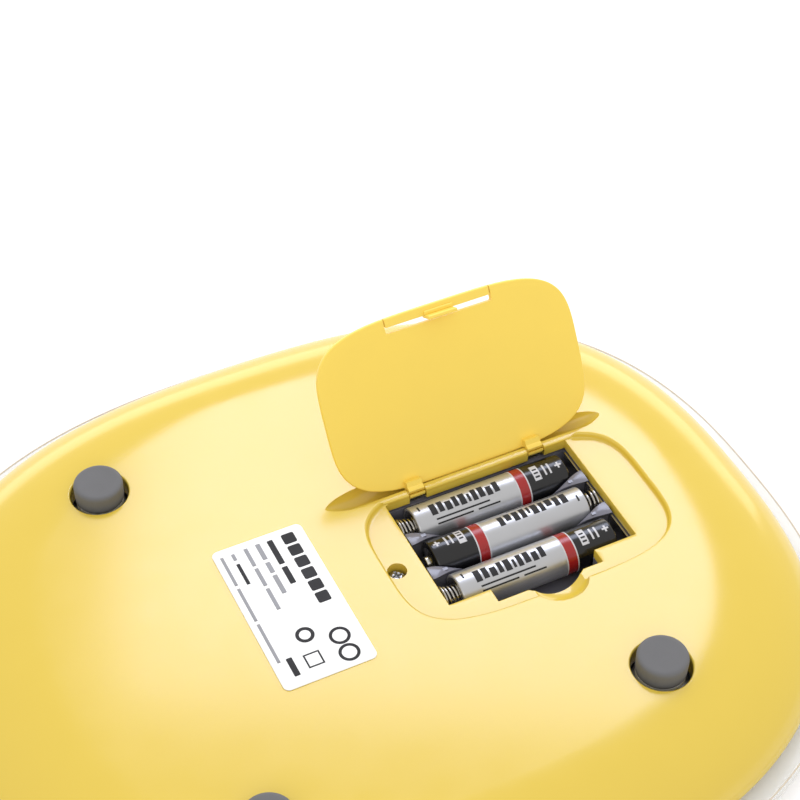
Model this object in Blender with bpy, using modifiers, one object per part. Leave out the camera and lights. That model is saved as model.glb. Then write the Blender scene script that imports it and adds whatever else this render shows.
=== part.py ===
"""A kitchen scale lying face down on its clear platform, with its battery door open.

+Z points out of the underside, the platform's own face is on z = 0, and the origin is the
platform's centre.  +X runs from the display end to the battery end, and +Y from the door's
latch to its hinge.  Sizes below are in millimetres, and MM turns them into metres.
"""
from math import asin, atan2, cos, pi, radians, sin

import bmesh
import bpy
from mathutils import Matrix, Vector

MM = 0.001
GAP = 0.3

# Outlines: half length, half width and superellipse power.
PLATFORM_OUTLINE = (112.0, 96.5, 2.55)
SHELL_OUTLINE = (107.0, 91.5, 2.6)
PLATFORM_THICKNESS = 4.0
FILM_BOTTOM = PLATFORM_THICKNESS + GAP
FILM_TOP = FILM_BOTTOM + 0.4
RIM_Z = FILM_TOP + GAP
FRAME_TOP = RIM_Z + 2.0

# The domed shell: a nearly flat middle and a quarter-ellipse shoulder.
SHELL_HEIGHT = 14.0
SHELL_TOP = RIM_Z + SHELL_HEIGHT
SHELL_WALL = 2.0
SHOULDER_START = 0.72
SHOULDER_POWER = 2.2
CROWN = 0.5

# Feet, one at each corner, and what stands under them.
FOOT_X = 49.5
FOOT_Y = 53.8
FOOT_HOLE_R = 7.35
FOOT_R = 6.2
FOOT_FACE_Z = 22.6
FOOT_BOTTOM = 17.3
COLLAR_R = 9.0
COLLAR_BOTTOM = 13.4
CELL_PLATE_Z = (10.4, 11.6)
CELL_PLATE_SIZE = 28.0
HOLDER_SIZE = 32.4

# Battery door, its recess and its hinge.
DOOR_X = 40.7
DOOR_Y = -0.55
RECESS_OUTLINE = (36.3, 22.6, 4.0)
DOOR_OUTLINE = (35.9, 22.1, 4.0)
RECESS_FLOOR = 17.2
DOOR_THICKNESS = 1.6
DOOR_INNER_Z = SHELL_TOP - DOOR_THICKNESS
PAD_BOTTOM = 14.4
HINGE_Y = 22.0
HINGE_Z = 16.4
HINGE_BAR_R = 0.7
HINGE_RAIL_R = 0.85
HINGE_RAIL_X = (0.5, 76.5)
LUG_HOLE_R = 0.85
LUG_R = 1.7
LUG_WIDTH = 4.2
LUG_CENTRES = (23.2, 57.2)
NOTCH_WIDTH = 4.8
DOOR_OPENING_ANGLE = 122.0
LATCH_HALF = 14.6
TAB_HALF = 4.0
SLOT_EDGE_Y = -18.6
STRIP_EDGE_Y = -20.2

# Battery bay and the three AAA cells in it.
BAY_X = (13.8, 65.6)
BAY_Y = (-15.5, 20.1)
BAY_NOTCH_X = (25.0, 53.8)
BAY_NOTCH_Y = -19.6
BAY_ARC_R = 12.0
BAY_ARC_Y = -10.3
TRAY_WALL = 1.4
TRAY_FLOOR = (5.3, 6.3)
AAA_LENGTH = 44.5
AAA_R = 5.25
CELL_Z = 11.9
CELL_ROWS = ((14.3, 40.9, 1), (2.3, 38.5, -1), (-9.7, 40.9, 1))
PLATE_THICKNESS = 0.4
PLATE_TOP = 14.0

# Display end.
DISPLAY_X = -76.0
LCD_SIZE = (22.0, 40.0)
BUTTON_Y = 31.5
BUTTON_R = 6.5
BUTTON_FACE_Z = 0.4
BOARD_Z = (10.5, 12.1)
BOARD_X = (-92.0, -60.0)
BOARD_Y = 37.0

SCREW_X = 7.2
SCREW_Y = -0.6
SCREW_TOP = 15.6
DOOR_CUTTERS = ("latch_gap", "lugs", "latch_strip", "latch_tab")

for old in list(bpy.data.objects):
    bpy.data.objects.remove(old, do_unlink=True)


def new_collection(name):
    collection = bpy.data.collections.new(name)
    bpy.context.scene.collection.children.link(collection)
    return collection


SCALE = new_collection("kitchen_scale")
CUTTERS = new_collection("cutters")


def material(name, colour, roughness, metallic=0.0):
    finish = bpy.data.materials.new(name)
    finish.use_nodes = True
    finish.diffuse_color = (*colour, 1.0)
    shader = finish.node_tree.nodes["Principled BSDF"]
    shader.inputs["Base Color"].default_value = (*colour, 1.0)
    shader.inputs["Roughness"].default_value = roughness
    shader.inputs["Metallic"].default_value = metallic
    return finish


CLEAR_ACRYLIC = material("clear_acrylic", (0.88, 0.90, 0.88), 0.05)
PRINTED_FILM = material("printed_film", (0.86, 0.66, 0.09), 0.4)
YELLOW_GLOSS = material("yellow_gloss_abs", (0.87, 0.66, 0.09), 0.2)
YELLOW_SATIN = material("yellow_satin_abs", (0.89, 0.68, 0.12), 0.45)
BLACK_ABS = material("black_abs", (0.02, 0.02, 0.022), 0.35)
WHITE_PLASTIC = material("white_plastic", (0.75, 0.75, 0.73), 0.5)
GREY_RUBBER = material("grey_rubber", (0.16, 0.16, 0.165), 0.8)
STEEL = material("stamped_steel", (0.55, 0.55, 0.56), 0.35, 1.0)
NICKEL = material("nickel_plate", (0.66, 0.65, 0.62), 0.25, 1.0)
CELL_SLEEVE = material("cell_sleeve", (0.5, 0.5, 0.52), 0.25, 0.8)
LABEL_WHITE = material("label_white", (0.85, 0.85, 0.83), 0.5)
BOARD_GREEN = material("board_green", (0.03, 0.16, 0.08), 0.45)
LCD_GLASS = material("lcd_glass", (0.30, 0.36, 0.28), 0.15)
DARK_RUBBER = material("dark_rubber", (0.05, 0.05, 0.05), 0.8)
RED_WIRE = material("red_wire", (0.5, 0.03, 0.03), 0.5)
BLACK_WIRE = material("black_wire", (0.02, 0.02, 0.02), 0.5)
GREY_WIRE = material("grey_wire", (0.3, 0.3, 0.3), 0.5)


def add_object(name, data, finish=None, smooth=True):
    """Link a piece, or a cutter when it has no finish."""
    piece = bpy.data.objects.new(name, data)
    if finish is None:
        CUTTERS.objects.link(piece)
        piece.hide_render = True
        piece.display_type = "WIRE"
        return piece
    SCALE.objects.link(piece)
    data.materials.append(finish)
    if smooth and isinstance(data, bpy.types.Mesh):
        data.shade_smooth()
        data.set_sharp_from_angle(angle=radians(35))
    return piece


def mesh_from(name, build):
    """A mesh whose geometry build(bm) makes in millimetres."""
    mesh = bpy.data.meshes.new(name)
    bm = bmesh.new()
    build(bm)
    bmesh.ops.scale(bm, vec=(MM, MM, MM), verts=bm.verts)
    bm.normal_update()
    bm.to_mesh(mesh)
    bm.free()
    return mesh


def superellipse(outline, count, centre=(0.0, 0.0)):
    half_x, half_y, power = outline
    points = []
    for step in range(count):
        angle = 2 * pi * step / count
        c, s = cos(angle), sin(angle)
        x = half_x * abs(c) ** (2 / power) * (1 if c >= 0 else -1)
        y = half_y * abs(s) ** (2 / power) * (1 if s >= 0 else -1)
        points.append((centre[0] + x, centre[1] + y))
    return points


def circle(radius, count, centre=(0.0, 0.0)):
    return superellipse((radius, radius, 2.0), count, centre)


def rectangle(x_range, y_range):
    return [(x_range[0], y_range[0]), (x_range[1], y_range[0]),
            (x_range[1], y_range[1]), (x_range[0], y_range[1])]


def centred_rectangle(x, y, size_x, size_y):
    return rectangle((x - size_x / 2, x + size_x / 2), (y - size_y / 2, y + size_y / 2))


def rounded_rectangle(x, y, size_x, size_y, radius, steps=4):
    points = []
    for corner, (side_x, side_y) in enumerate(((1, 1), (-1, 1), (-1, -1), (1, -1))):
        corner_x = x + side_x * (size_x / 2 - radius)
        corner_y = y + side_y * (size_y / 2 - radius)
        for step in range(steps + 1):
            angle = pi / 2 * (corner + step / steps)
            points.append((corner_x + radius * cos(angle), corner_y + radius * sin(angle)))
    return points


def plate(name, outlines, z_range, finish=None, bevel=0.0):
    """A flat plate from closed outlines; outlines inside the first one are holes."""
    curve = bpy.data.curves.new(name, "CURVE")
    curve.dimensions = "2D"
    curve.fill_mode = "BOTH"
    curve.extrude = (z_range[1] - z_range[0]) / 2 * MM
    for outline in outlines:
        spline = curve.splines.new("POLY")
        spline.points.add(len(outline) - 1)
        for point, (x, y) in zip(spline.points, outline):
            point.co = (x * MM, y * MM, 0.0, 1.0)
        spline.use_cyclic_u = True
    source = bpy.data.objects.new(name + "_outline", curve)
    CUTTERS.objects.link(source)
    source.location.z = (z_range[0] + z_range[1]) / 2 * MM
    bpy.context.view_layer.update()
    graph = bpy.context.evaluated_depsgraph_get()
    mesh = bpy.data.meshes.new_from_object(source.evaluated_get(graph))
    mesh.name = name
    bm = bmesh.new()
    bm.from_mesh(mesh)
    bmesh.ops.remove_doubles(bm, verts=bm.verts, dist=0.00001)
    bmesh.ops.recalc_face_normals(bm, faces=bm.faces)
    bm.to_mesh(mesh)
    bm.free()
    matrix = source.matrix_world.copy()
    bpy.data.objects.remove(source)
    bpy.data.curves.remove(curve)
    piece = add_object(name, mesh, finish)
    piece.matrix_world = matrix
    if bevel:
        edge = piece.modifiers.new("rounded_edges", "BEVEL")
        edge.width = bevel * MM
        edge.segments = 2
        edge.limit_method = "ANGLE"
        edge.angle_limit = radians(60)
    return piece


def add_box(bm, x_range, y_range, z_range):
    """A box between two corners."""
    size = Vector((x_range[1] - x_range[0], y_range[1] - y_range[0], z_range[1] - z_range[0]))
    middle = Vector((sum(x_range), sum(y_range), sum(z_range))) / 2
    matrix = Matrix.Translation(middle) @ Matrix.Diagonal((*size, 1.0))
    bmesh.ops.create_cube(bm, size=1.0, matrix=matrix)


def add_cylinder(bm, start, end, radius, sides=24):
    """A capped cylinder from start to end."""
    start, end = Vector(start), Vector(end)
    axis = end - start
    turn = axis.to_track_quat("Z", "Y").to_matrix().to_4x4()
    matrix = Matrix.Translation((start + end) / 2) @ turn
    bmesh.ops.create_cone(bm, cap_ends=True, segments=sides, radius1=radius, radius2=radius,
                          depth=axis.length, matrix=matrix)


def arc_points(radius, start, end, steps):
    angles = [start + (end - start) * step / steps for step in range(steps + 1)]
    return [(radius * cos(angle), radius * sin(angle)) for angle in angles]


def add_prism(bm, outline, x_range):
    """A (y, z) outline, counter-clockwise, carried along X."""
    near, far = [[bm.verts.new((x, y, z)) for y, z in outline] for x in x_range]
    for i in range(len(outline)):
        j = (i + 1) % len(outline)
        bm.faces.new((near[i], near[j], far[j], far[i]))
    bm.faces.new(near[::-1])
    bm.faces.new(far)
    bmesh.ops.recalc_face_normals(bm, faces=bm.faces)


def boolean(piece, other, operation="DIFFERENCE"):
    step = piece.modifiers.new(operation.lower(), "BOOLEAN")
    step.operation = operation
    step.solver = "EXACT"
    step.object = other


def cutter(name, build):
    return add_object(name, mesh_from(name, build))


def turned(name, profile, centre, finish, steps=24):
    """A profile of (radius, z) points, top to bottom, turned about a vertical axis."""
    def build(bm):
        points = [bm.verts.new((radius, 0.0, z)) for radius, z in profile]
        for first, second in zip(points, points[1:]):
            bm.edges.new((first, second))
    piece = add_object(name, mesh_from(name, build), finish)
    piece.location = (centre[0] * MM, centre[1] * MM, 0.0)
    screw = piece.modifiers.new("turn", "SCREW")
    screw.steps = steps
    screw.render_steps = steps
    screw.use_merge_vertices = True
    screw.merge_threshold = 0.00001
    screw.use_smooth_shade = True
    return piece


def loft(name, rings, count, power, finish=None):
    """A closed solid through superellipse rings of (half_x, half_y, z); both ends are poles."""
    def build(bm):
        rows = []
        for half_x, half_y, z in rings:
            if half_x == 0:
                rows.append([bm.verts.new((0.0, 0.0, z))])
            else:
                outline = superellipse((half_x, half_y, power), count)
                rows.append([bm.verts.new((x, y, z)) for x, y in outline])
        for lower, upper in zip(rows, rows[1:]):
            for i in range(count):
                j = (i + 1) % count
                if len(lower) == 1:
                    bm.faces.new((lower[0], upper[j], upper[i]))
                elif len(upper) == 1:
                    bm.faces.new((lower[i], lower[j], upper[0]))
                else:
                    bm.faces.new((lower[i], lower[j], upper[j], upper[i]))
        bmesh.ops.recalc_face_normals(bm, faces=bm.faces)
    return add_object(name, mesh_from(name, build), finish)


def tube(name, points, radius, finish, sides=2):
    """A round wire through points, with filled caps."""
    curve = bpy.data.curves.new(name, "CURVE")
    curve.dimensions = "3D"
    curve.bevel_depth = radius * MM
    curve.bevel_resolution = sides
    curve.use_fill_caps = True
    spline = curve.splines.new("POLY")
    spline.points.add(len(points) - 1)
    for point, place in zip(spline.points, points):
        point.co = (*(value * MM for value in place), 1.0)
    curve.materials.append(finish)
    wire = bpy.data.objects.new(name, curve)
    SCALE.objects.link(wire)
    return wire


def smooth_route(stops, count):
    """Points on a Catmull-Rom curve through the stops."""
    stops = [Vector(stop) for stop in stops]
    padded = [2 * stops[0] - stops[1], *stops, 2 * stops[-1] - stops[-2]]
    spans = len(stops) - 1
    points = []
    for step in range(count):
        place = min(step * spans / (count - 1), spans - 1e-9)
        k = int(place)
        t = place - k
        a, b, c, d = padded[k:k + 4]
        points.append(0.5 * (2 * b + (c - a) * t + (2 * a - 5 * b + 4 * c - d) * t ** 2
                             + (3 * b - a - 3 * c + d) * t ** 3))
    return points


def dome_height(scale, height):
    """Height of the dome above its rim, at a scale of the outline from 0 to 1."""
    rise = max(0.0, (scale - SHOULDER_START) / (1 - SHOULDER_START))
    return height * (1 - rise ** SHOULDER_POWER) ** 0.5 - CROWN * scale ** 2 * (1 - rise)


def dome_rings(half_x, half_y, height):
    scales = [0.0, 0.4, SHOULDER_START, 0.81, 0.89, 0.95, 0.985, 1.0]
    return [(half_x * s, half_y * s, RIM_Z + dome_height(s, height)) for s in scales]


# ---------------------------------------------------------------- platform and its film
FOOT_CENTRES = [(-FOOT_X, FOOT_Y), (FOOT_X, FOOT_Y), (FOOT_X, -FOOT_Y), (-FOOT_X, -FOOT_Y)]
BUTTONS = (("tare", -BUTTON_Y), ("unit", BUTTON_Y))
BUTTON_HOLES = [circle(BUTTON_R + GAP, 24, (DISPLAY_X, y)) for _, y in BUTTONS]


def make_platform():
    plate("platform", [superellipse(PLATFORM_OUTLINE, 72), *BUTTON_HOLES],
          (0.0, PLATFORM_THICKNESS), CLEAR_ACRYLIC, bevel=0.8)


def make_backing_sheet():
    half_x, half_y, power = SHELL_OUTLINE
    outline = superellipse((half_x - 1, half_y - 1, power), 56)
    window = centred_rectangle(DISPLAY_X, 0.0, LCD_SIZE[0] - 4, LCD_SIZE[1] - 4)
    plate("backing_sheet", [outline, window, *BUTTON_HOLES], (FILM_BOTTOM, FILM_TOP), PRINTED_FILM)


# ---------------------------------------------------------------- shell
def bay_outline():
    """Edge of the battery opening: a rectangle, a wide notch and a shallow arc."""
    x0, x1 = BAY_X
    y0, y1 = BAY_Y
    n0, n1 = BAY_NOTCH_X
    drop = (BAY_ARC_R ** 2 - (BAY_NOTCH_Y - BAY_ARC_Y) ** 2) ** 0.5
    start = atan2(BAY_NOTCH_Y - BAY_ARC_Y, -drop)
    end = atan2(BAY_NOTCH_Y - BAY_ARC_Y, drop)
    arc = []
    for step in range(9):
        angle = start + (end - start) * step / 8
        arc.append((DOOR_X + BAY_ARC_R * cos(angle), BAY_ARC_Y + BAY_ARC_R * sin(angle)))
    return [(x0, y1), (x0, y0), (n0, y0), (n0, BAY_NOTCH_Y), *arc,
            (n1, BAY_NOTCH_Y), (n1, y0), (x1, y0), (x1, y1)]


def make_bottom_shell():
    half_x, half_y, power = SHELL_OUTLINE
    outer = dome_rings(half_x, half_y, SHELL_HEIGHT)
    inner = dome_rings(half_x - SHELL_WALL, half_y - SHELL_WALL, SHELL_HEIGHT - SHELL_WALL)
    shell = loft("bottom_shell", outer + inner[::-1], 56, power, YELLOW_GLOSS)

    pad_outline = (RECESS_OUTLINE[0] + 3, RECESS_OUTLINE[1] + 3, RECESS_OUTLINE[2])
    pad = plate("recess_pad", [superellipse(pad_outline, 36, (DOOR_X, DOOR_Y))],
                (PAD_BOTTOM, SHELL_TOP - 1.3))

    def hinge_block(bm):
        add_box(bm, (3.0, 78.0), (18.0, 29.0), (13.6, SHELL_TOP - 1.2))

    def collars(bm):
        for x, y in FOOT_CENTRES:
            add_cylinder(bm, (x, y, COLLAR_BOTTOM), (x, y, SHELL_TOP - 1.1), COLLAR_R)
        add_cylinder(bm, (SCREW_X, SCREW_Y, 9.3), (SCREW_X, SCREW_Y, SHELL_TOP - 2.2), 4.2)

    boolean(shell, pad, "UNION")
    boolean(shell, cutter("hinge_block", hinge_block), "UNION")
    boolean(shell, cutter("collars", collars), "UNION")

    recess = plate("recess_cut", [superellipse(RECESS_OUTLINE, 48, (DOOR_X, DOOR_Y))],
                   (RECESS_FLOOR, SHELL_TOP + 3))
    opening = plate("bay_cut", [bay_outline()], (10.0, SHELL_TOP + 2))

    def holes(bm):
        for x, y in FOOT_CENTRES:
            add_cylinder(bm, (x, y, 10.0), (x, y, 24.0), FOOT_HOLE_R, 24)
        add_cylinder(bm, (SCREW_X, SCREW_Y, SCREW_TOP - 2.3), (SCREW_X, SCREW_Y, 22.0), 2.45)

    def shank_hole(bm):
        add_cylinder(bm, (SCREW_X, SCREW_Y, 5.0), (SCREW_X, SCREW_Y, 15.0), 1.4, 16)

    def trough(bm):
        """A spindle along X that clears the door's rear edge and thins out at its ends."""
        half_length = 40.0
        stations = 17
        rows = []
        for step in range(stations):
            t = -1 + 2 * step / (stations - 1)
            radius = 3.8 * (1 - abs(t) ** 8) + 0.02
            centre_z = 18.1 + 1.4 * abs(t) ** 8
            rows.append([bm.verts.new((38.5 + half_length * t,
                                       23.6 + radius * cos(2 * pi * k / 20),
                                       centre_z + radius * sin(2 * pi * k / 20)))
                         for k in range(20)])
        for lower, upper in zip(rows, rows[1:]):
            for k in range(20):
                m = (k + 1) % 20
                bm.faces.new((lower[k], lower[m], upper[m], upper[k]))
        bm.faces.new(rows[0])
        bm.faces.new(rows[-1])
        bmesh.ops.recalc_face_normals(bm, faces=bm.faces)

    def scoop(bm):
        matrix = Matrix.Translation((DOOR_X, -21.5, 18.8)) @ Matrix.Diagonal((7.3, 6.2, 3.4, 1.0))
        bmesh.ops.create_uvsphere(bm, u_segments=20, v_segments=10, radius=1.0, matrix=matrix)

    def notches(bm):
        for x in LUG_CENTRES:
            add_box(bm, (x - NOTCH_WIDTH / 2, x + NOTCH_WIDTH / 2), (19.8, 24.1), (12.0, 22.0))

    def hinge_rail(bm):
        """The strip between the opening and the trough, round along its rear top edge."""
        arc = arc_points(HINGE_RAIL_R, radians(-40), pi / 2, 8)
        outline = [(20.3, 14.7), (HINGE_Y + 0.4, 14.7),
                   *((HINGE_Y + y, HINGE_Z + z) for y, z in arc), (20.3, HINGE_Z + HINGE_RAIL_R)]
        add_prism(bm, outline, HINGE_RAIL_X)

    def hinge_bars(bm):
        for x in LUG_CENTRES:
            add_cylinder(bm, (x - 3.6, HINGE_Y, HINGE_Z), (x + 3.6, HINGE_Y, HINGE_Z),
                         HINGE_BAR_R, 14)

    swing_outline = (DOOR_OUTLINE[0] + GAP, DOOR_OUTLINE[1] + GAP, DOOR_OUTLINE[2])
    swing_relief = plate("swing_relief", [superellipse(swing_outline, 48, (DOOR_X, DOOR_Y + 0.8))],
                         (17.9, SHELL_TOP + 3.5))
    boolean(shell, recess)
    boolean(shell, swing_relief)
    boolean(shell, cutter("trough", trough))
    boolean(shell, cutter("hinge_rail", hinge_rail), "UNION")
    boolean(shell, opening)
    boolean(shell, cutter("holes", holes))
    boolean(shell, cutter("shank_hole", shank_hole))
    boolean(shell, cutter("scoop", scoop))
    boolean(shell, cutter("notches", notches))
    boolean(shell, cutter("hinge_bars", hinge_bars), "UNION")


def small_screw(name, place, seat, tip, shank_r):
    """A pan-head screw whose head sits at seat and whose shank ends at tip."""
    turned(name, [(0.0, seat + 1.3), (1.2, seat + 1.2), (1.9, seat + 0.6), (1.9, seat),
                  (shank_r, seat), (shank_r, tip), (0.0, tip)], place, STEEL, steps=12)


# ---------------------------------------------------------------- inner frame and display
def make_inner_frame():
    half_x, half_y, power = SHELL_OUTLINE
    outline = superellipse((half_x - 3.6, half_y - 3.6, power), 64)
    window = centred_rectangle(DISPLAY_X, 0.0, LCD_SIZE[0] + 1, LCD_SIZE[1] + 1)
    bay = centred_rectangle(sum(BAY_X) / 2, (BAY_NOTCH_Y + BAY_Y[1]) / 2 - 1.4,
                            BAY_X[1] - BAY_X[0] + 4, BAY_Y[1] - BAY_NOTCH_Y + 10)
    screw_hole = circle(1.3, 12, (SCREW_X, SCREW_Y))
    frame = plate("inner_frame", [outline, window, bay, screw_hole, *BUTTON_HOLES],
                  (RIM_Z, FRAME_TOP), WHITE_PLASTIC)
    boss = plate("screw_boss", [circle(3.4, 20, (SCREW_X, SCREW_Y)), screw_hole],
                 (FRAME_TOP - 1, 9.0))

    def posts(bm):
        for x in (BOARD_X[0] + 3, BOARD_X[1] - 3):
            for y in (-BOARD_Y + 3, BOARD_Y - 3):
                add_cylinder(bm, (x, y, FRAME_TOP - 1), (x, y, BOARD_Z[0] - GAP), 2.4, 16)

    boolean(frame, boss, "UNION")
    boolean(frame, cutter("board_posts", posts), "UNION")


def make_display():
    size_x, size_y = LCD_SIZE

    def panel(bm):
        add_box(bm, (DISPLAY_X - size_x / 2, DISPLAY_X + size_x / 2), (-size_y / 2, size_y / 2),
                (RIM_Z, FRAME_TOP + 0.2))
    add_object("lcd_panel", mesh_from("lcd_panel", panel), LCD_GLASS)
    plate("lcd_frame",
          [rounded_rectangle(DISPLAY_X, 0.0, size_x + 6, size_y + 6, 2.0),
           centred_rectangle(DISPLAY_X, 0.0, size_x - 5, size_y - 5)],
          (FRAME_TOP + 0.5, 10.2), BLACK_ABS)

    def zebra(bm):
        add_box(bm, (DISPLAY_X - 8.2, DISPLAY_X - 6.0), (-17.0, 17.0), (FRAME_TOP + 0.5, 10.2))
    add_object("zebra_strip", mesh_from("zebra_strip", zebra), DARK_RUBBER)


def make_board():
    screw_holes = [circle(1.3, 12, (x, y)) for x in (BOARD_X[0] + 3, BOARD_X[1] - 3)
                   for y in (-BOARD_Y + 3, BOARD_Y - 3)]
    plate("main_board", [rectangle(BOARD_X, (-BOARD_Y, BOARD_Y)), *screw_holes], BOARD_Z,
          BOARD_GREEN)
    top = BOARD_Z[1] + GAP
    turned("chip_cover", [(0.0, top + 1.6), (2.5, top + 1.5), (4.6, top + 1.0), (5.8, top),
                          (0.0, top)], (-70.0, 14.0), BLACK_ABS, steps=20)
    for name, y in BUTTONS:
        def switch(bm):
            add_box(bm, (DISPLAY_X - 3, DISPLAY_X + 3), (y - 3, y + 3), (9.3, BOARD_Z[0] - GAP))
        body = add_object(name + "_switch", mesh_from(name + "_switch", switch), BLACK_ABS)

        def plunger(bm):
            add_cylinder(bm, (DISPLAY_X, y, 8.9), (DISPLAY_X, y, 9.6), 1.7, 16)
        boolean(body, cutter(name + "_plunger", plunger), "UNION")

    for number, place in enumerate(((x, y) for x in (BOARD_X[0] + 3, BOARD_X[1] - 3)
                                    for y in (-BOARD_Y + 3, BOARD_Y - 3)), start=1):
        small_screw(f"board_screw_{number}", place, BOARD_Z[1] + GAP, BOARD_Z[0] + 0.1, 0.9)


def make_buttons():
    for name, y in BUTTONS:
        turned(name + "_button",
               [(0.0, 8.2), (7.6, 8.2), (7.6, FRAME_TOP + GAP), (BUTTON_R, FRAME_TOP + GAP),
                (BUTTON_R, BUTTON_FACE_Z + 0.5), (BUTTON_R - 0.5, BUTTON_FACE_Z),
                (0.0, BUTTON_FACE_Z)], (DISPLAY_X, y), WHITE_PLASTIC, steps=28)


# ---------------------------------------------------------------- feet and load cells
def make_feet():
    for number, (x, y) in enumerate(FOOT_CENTRES, start=1):
        turned(f"rubber_foot_{number}",
               [(0.0, FOOT_FACE_Z), (5.2, FOOT_FACE_Z), (5.9, FOOT_FACE_Z - 0.3),
                (FOOT_R, FOOT_FACE_Z - 1.0), (FOOT_R, FOOT_BOTTOM), (0.0, FOOT_BOTTOM)],
               (x, y), GREY_RUBBER, steps=28)
        turned(f"foot_cup_{number}",
               [(0.0, FOOT_BOTTOM - GAP), (6.0, FOOT_BOTTOM - GAP), (6.0, 15.6), (4.4, 14.6),
                (4.4, CELL_PLATE_Z[1] + GAP), (0.0, CELL_PLATE_Z[1] + GAP)],
               (x, y), WHITE_PLASTIC, steps=20)


def make_load_cells():
    """A stamped plate whose centre tongue bends: the slot runs round three of its sides."""
    half = CELL_PLATE_SIZE / 2
    for number, (x, y) in enumerate(FOOT_CENTRES, start=1):
        toward = -1 if x > 0 else 1
        screw_hole = circle(1.2, 12, (x, y + (11.8 if y > 0 else -11.8)))
        slot = [(-8.0, -8.5), (8.0, -8.5), (8.0, -7.0), (-6.0, -7.0),
                (-6.0, 7.0), (8.0, 7.0), (8.0, 8.5), (-8.0, 8.5)]
        slot = [(x + toward * px, y + py) for px, py in slot]
        plate(f"load_cell_{number}",
              [rounded_rectangle(x, y, 2 * half, 2 * half, 2.0, 3), slot, screw_hole],
              CELL_PLATE_Z, STEEL)
        plate(f"load_cell_holder_{number}",
              [rounded_rectangle(x, y, HOLDER_SIZE, HOLDER_SIZE, 2.5, 3),
               rounded_rectangle(x, y, HOLDER_SIZE - 9, HOLDER_SIZE - 9, 1.5, 3)],
              (FRAME_TOP + GAP, CELL_PLATE_Z[0] - GAP), WHITE_PLASTIC)

        small_screw(f"holder_screw_{number}", (x, y + (11.8 if y > 0 else -11.8)),
                    CELL_PLATE_Z[1] + GAP, CELL_PLATE_Z[0], 0.8)


# ---------------------------------------------------------------- battery bay
def make_battery_tray():
    x0, x1 = BAY_X
    y0, y1 = BAY_Y
    wall = TRAY_WALL
    top = PAD_BOTTOM - GAP
    notch_y = BAY_ARC_Y - BAY_ARC_R
    n0, n1 = BAY_NOTCH_X
    tray = plate("battery_tray", [rectangle((x0 - wall, x1 + wall), (y0 - wall, y1 + wall))],
                 (TRAY_FLOOR[0], top), BLACK_ABS)

    def finger_bay(bm):
        add_box(bm, (n0 - wall, n1 + wall), (notch_y - wall, y0 + 1), (TRAY_FLOOR[0] + 0.01, top - 0.01))

    def hollow(bm):
        add_box(bm, (x0, x1), (y0, y1), (TRAY_FLOOR[1], top + 5))

    def finger_hollow(bm):
        add_box(bm, (n0, n1), (notch_y, y0 + 2), (TRAY_FLOOR[1] + 0.01, top + 4))
    boolean(tray, cutter("finger_bay", finger_bay), "UNION")
    boolean(tray, cutter("tray_hollow", hollow))
    boolean(tray, cutter("finger_hollow", finger_hollow))

    def hinge_relief(bm):
        add_box(bm, (x0 - 5, x1 + 5), (17.6, y1 + 5), (13.3, top + 2))
    boolean(tray, cutter("tray_hinge_relief", hinge_relief))

    def fins(bm):
        for y in (8.3, -3.7):
            add_box(bm, (x0 + 1.1, x0 + 5.6), (y - 0.42, y + 0.42), (TRAY_FLOOR[1] - 0.5, 15.4))
            add_box(bm, (x1 - 5.6, x1 - 1.1), (y - 0.42, y + 0.42), (TRAY_FLOOR[1] - 0.5, 15.4))
    boolean(tray, cutter("tray_fins", fins), "UNION")


def make_cells():
    """AAA cells along X; the nub points to +X on rows 1 and 3 and to -X on row 2."""
    half = AAA_LENGTH / 2
    for number, (y, x, nub) in enumerate(CELL_ROWS, start=1):
        profile = [(0.0, half), (1.9, half), (1.9, half - 0.9), (4.7, half - 0.9),
                   (AAA_R, half - 1.5), (AAA_R, 0.6 - half), (4.7, -half), (0.0, -half)]
        cell = turned(f"battery_cell_{number}", profile, (x, y), CELL_SLEEVE, steps=28)
        cell.location.z = CELL_Z * MM
        cell.rotation_euler = (0.0, nub * pi / 2, 0.0)


def end_plate(name, left, y_range):
    """A contact plate standing against the tray's end wall."""
    inner = BAY_X[0] + GAP if left else BAY_X[1] - GAP - PLATE_THICKNESS
    def build(bm):
        add_box(bm, (inner, inner + PLATE_THICKNESS), y_range, (TRAY_FLOOR[1] + GAP, PLATE_TOP))
    return add_object(name, mesh_from(name, build), NICKEL)


def make_contacts():
    rows = [row[0] for row in CELL_ROWS]
    end_plate("negative_plate", True, (rows[0] - 4.6, rows[0] + 4.6))
    end_plate("positive_plate", False, (rows[2] - 4.6, rows[2] + 4.6))
    for name, left, low, high in (("left_bridge_plate", True, rows[2], rows[1]),
                                  ("right_bridge_plate", False, rows[1], rows[0])):
        end_plate(name, left, (low - 4.6, high + 4.6))

    turns = 3.6
    steps = 10
    for number, (y, x, nub) in enumerate(CELL_ROWS, start=1):
        wall = BAY_X[0] + GAP + PLATE_THICKNESS if nub > 0 else BAY_X[1] - GAP - PLATE_THICKNESS
        start = wall + nub * (GAP + 0.28)
        end = x - nub * (AAA_LENGTH / 2 + GAP + 0.28)
        points = []
        total = int(turns * steps)
        for step in range(total + 1):
            t = step / total
            angle = 2 * pi * turns * t
            radius = 3.3 - 1.0 * t
            points.append((start + (end - start) * t, y + radius * cos(angle),
                           CELL_Z + radius * sin(angle)))
        tube(f"contact_spring_{number}", points, 0.25, STEEL, sides=1)


# ---------------------------------------------------------------- door
def closed_to_open():
    """The turn that swings the closed door to its open stop."""
    pivot = Matrix.Translation((0.0, HINGE_Y * MM, HINGE_Z * MM))
    return pivot @ Matrix.Rotation(radians(-DOOR_OPENING_ANGLE), 4, "X") @ pivot.inverted()


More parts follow.
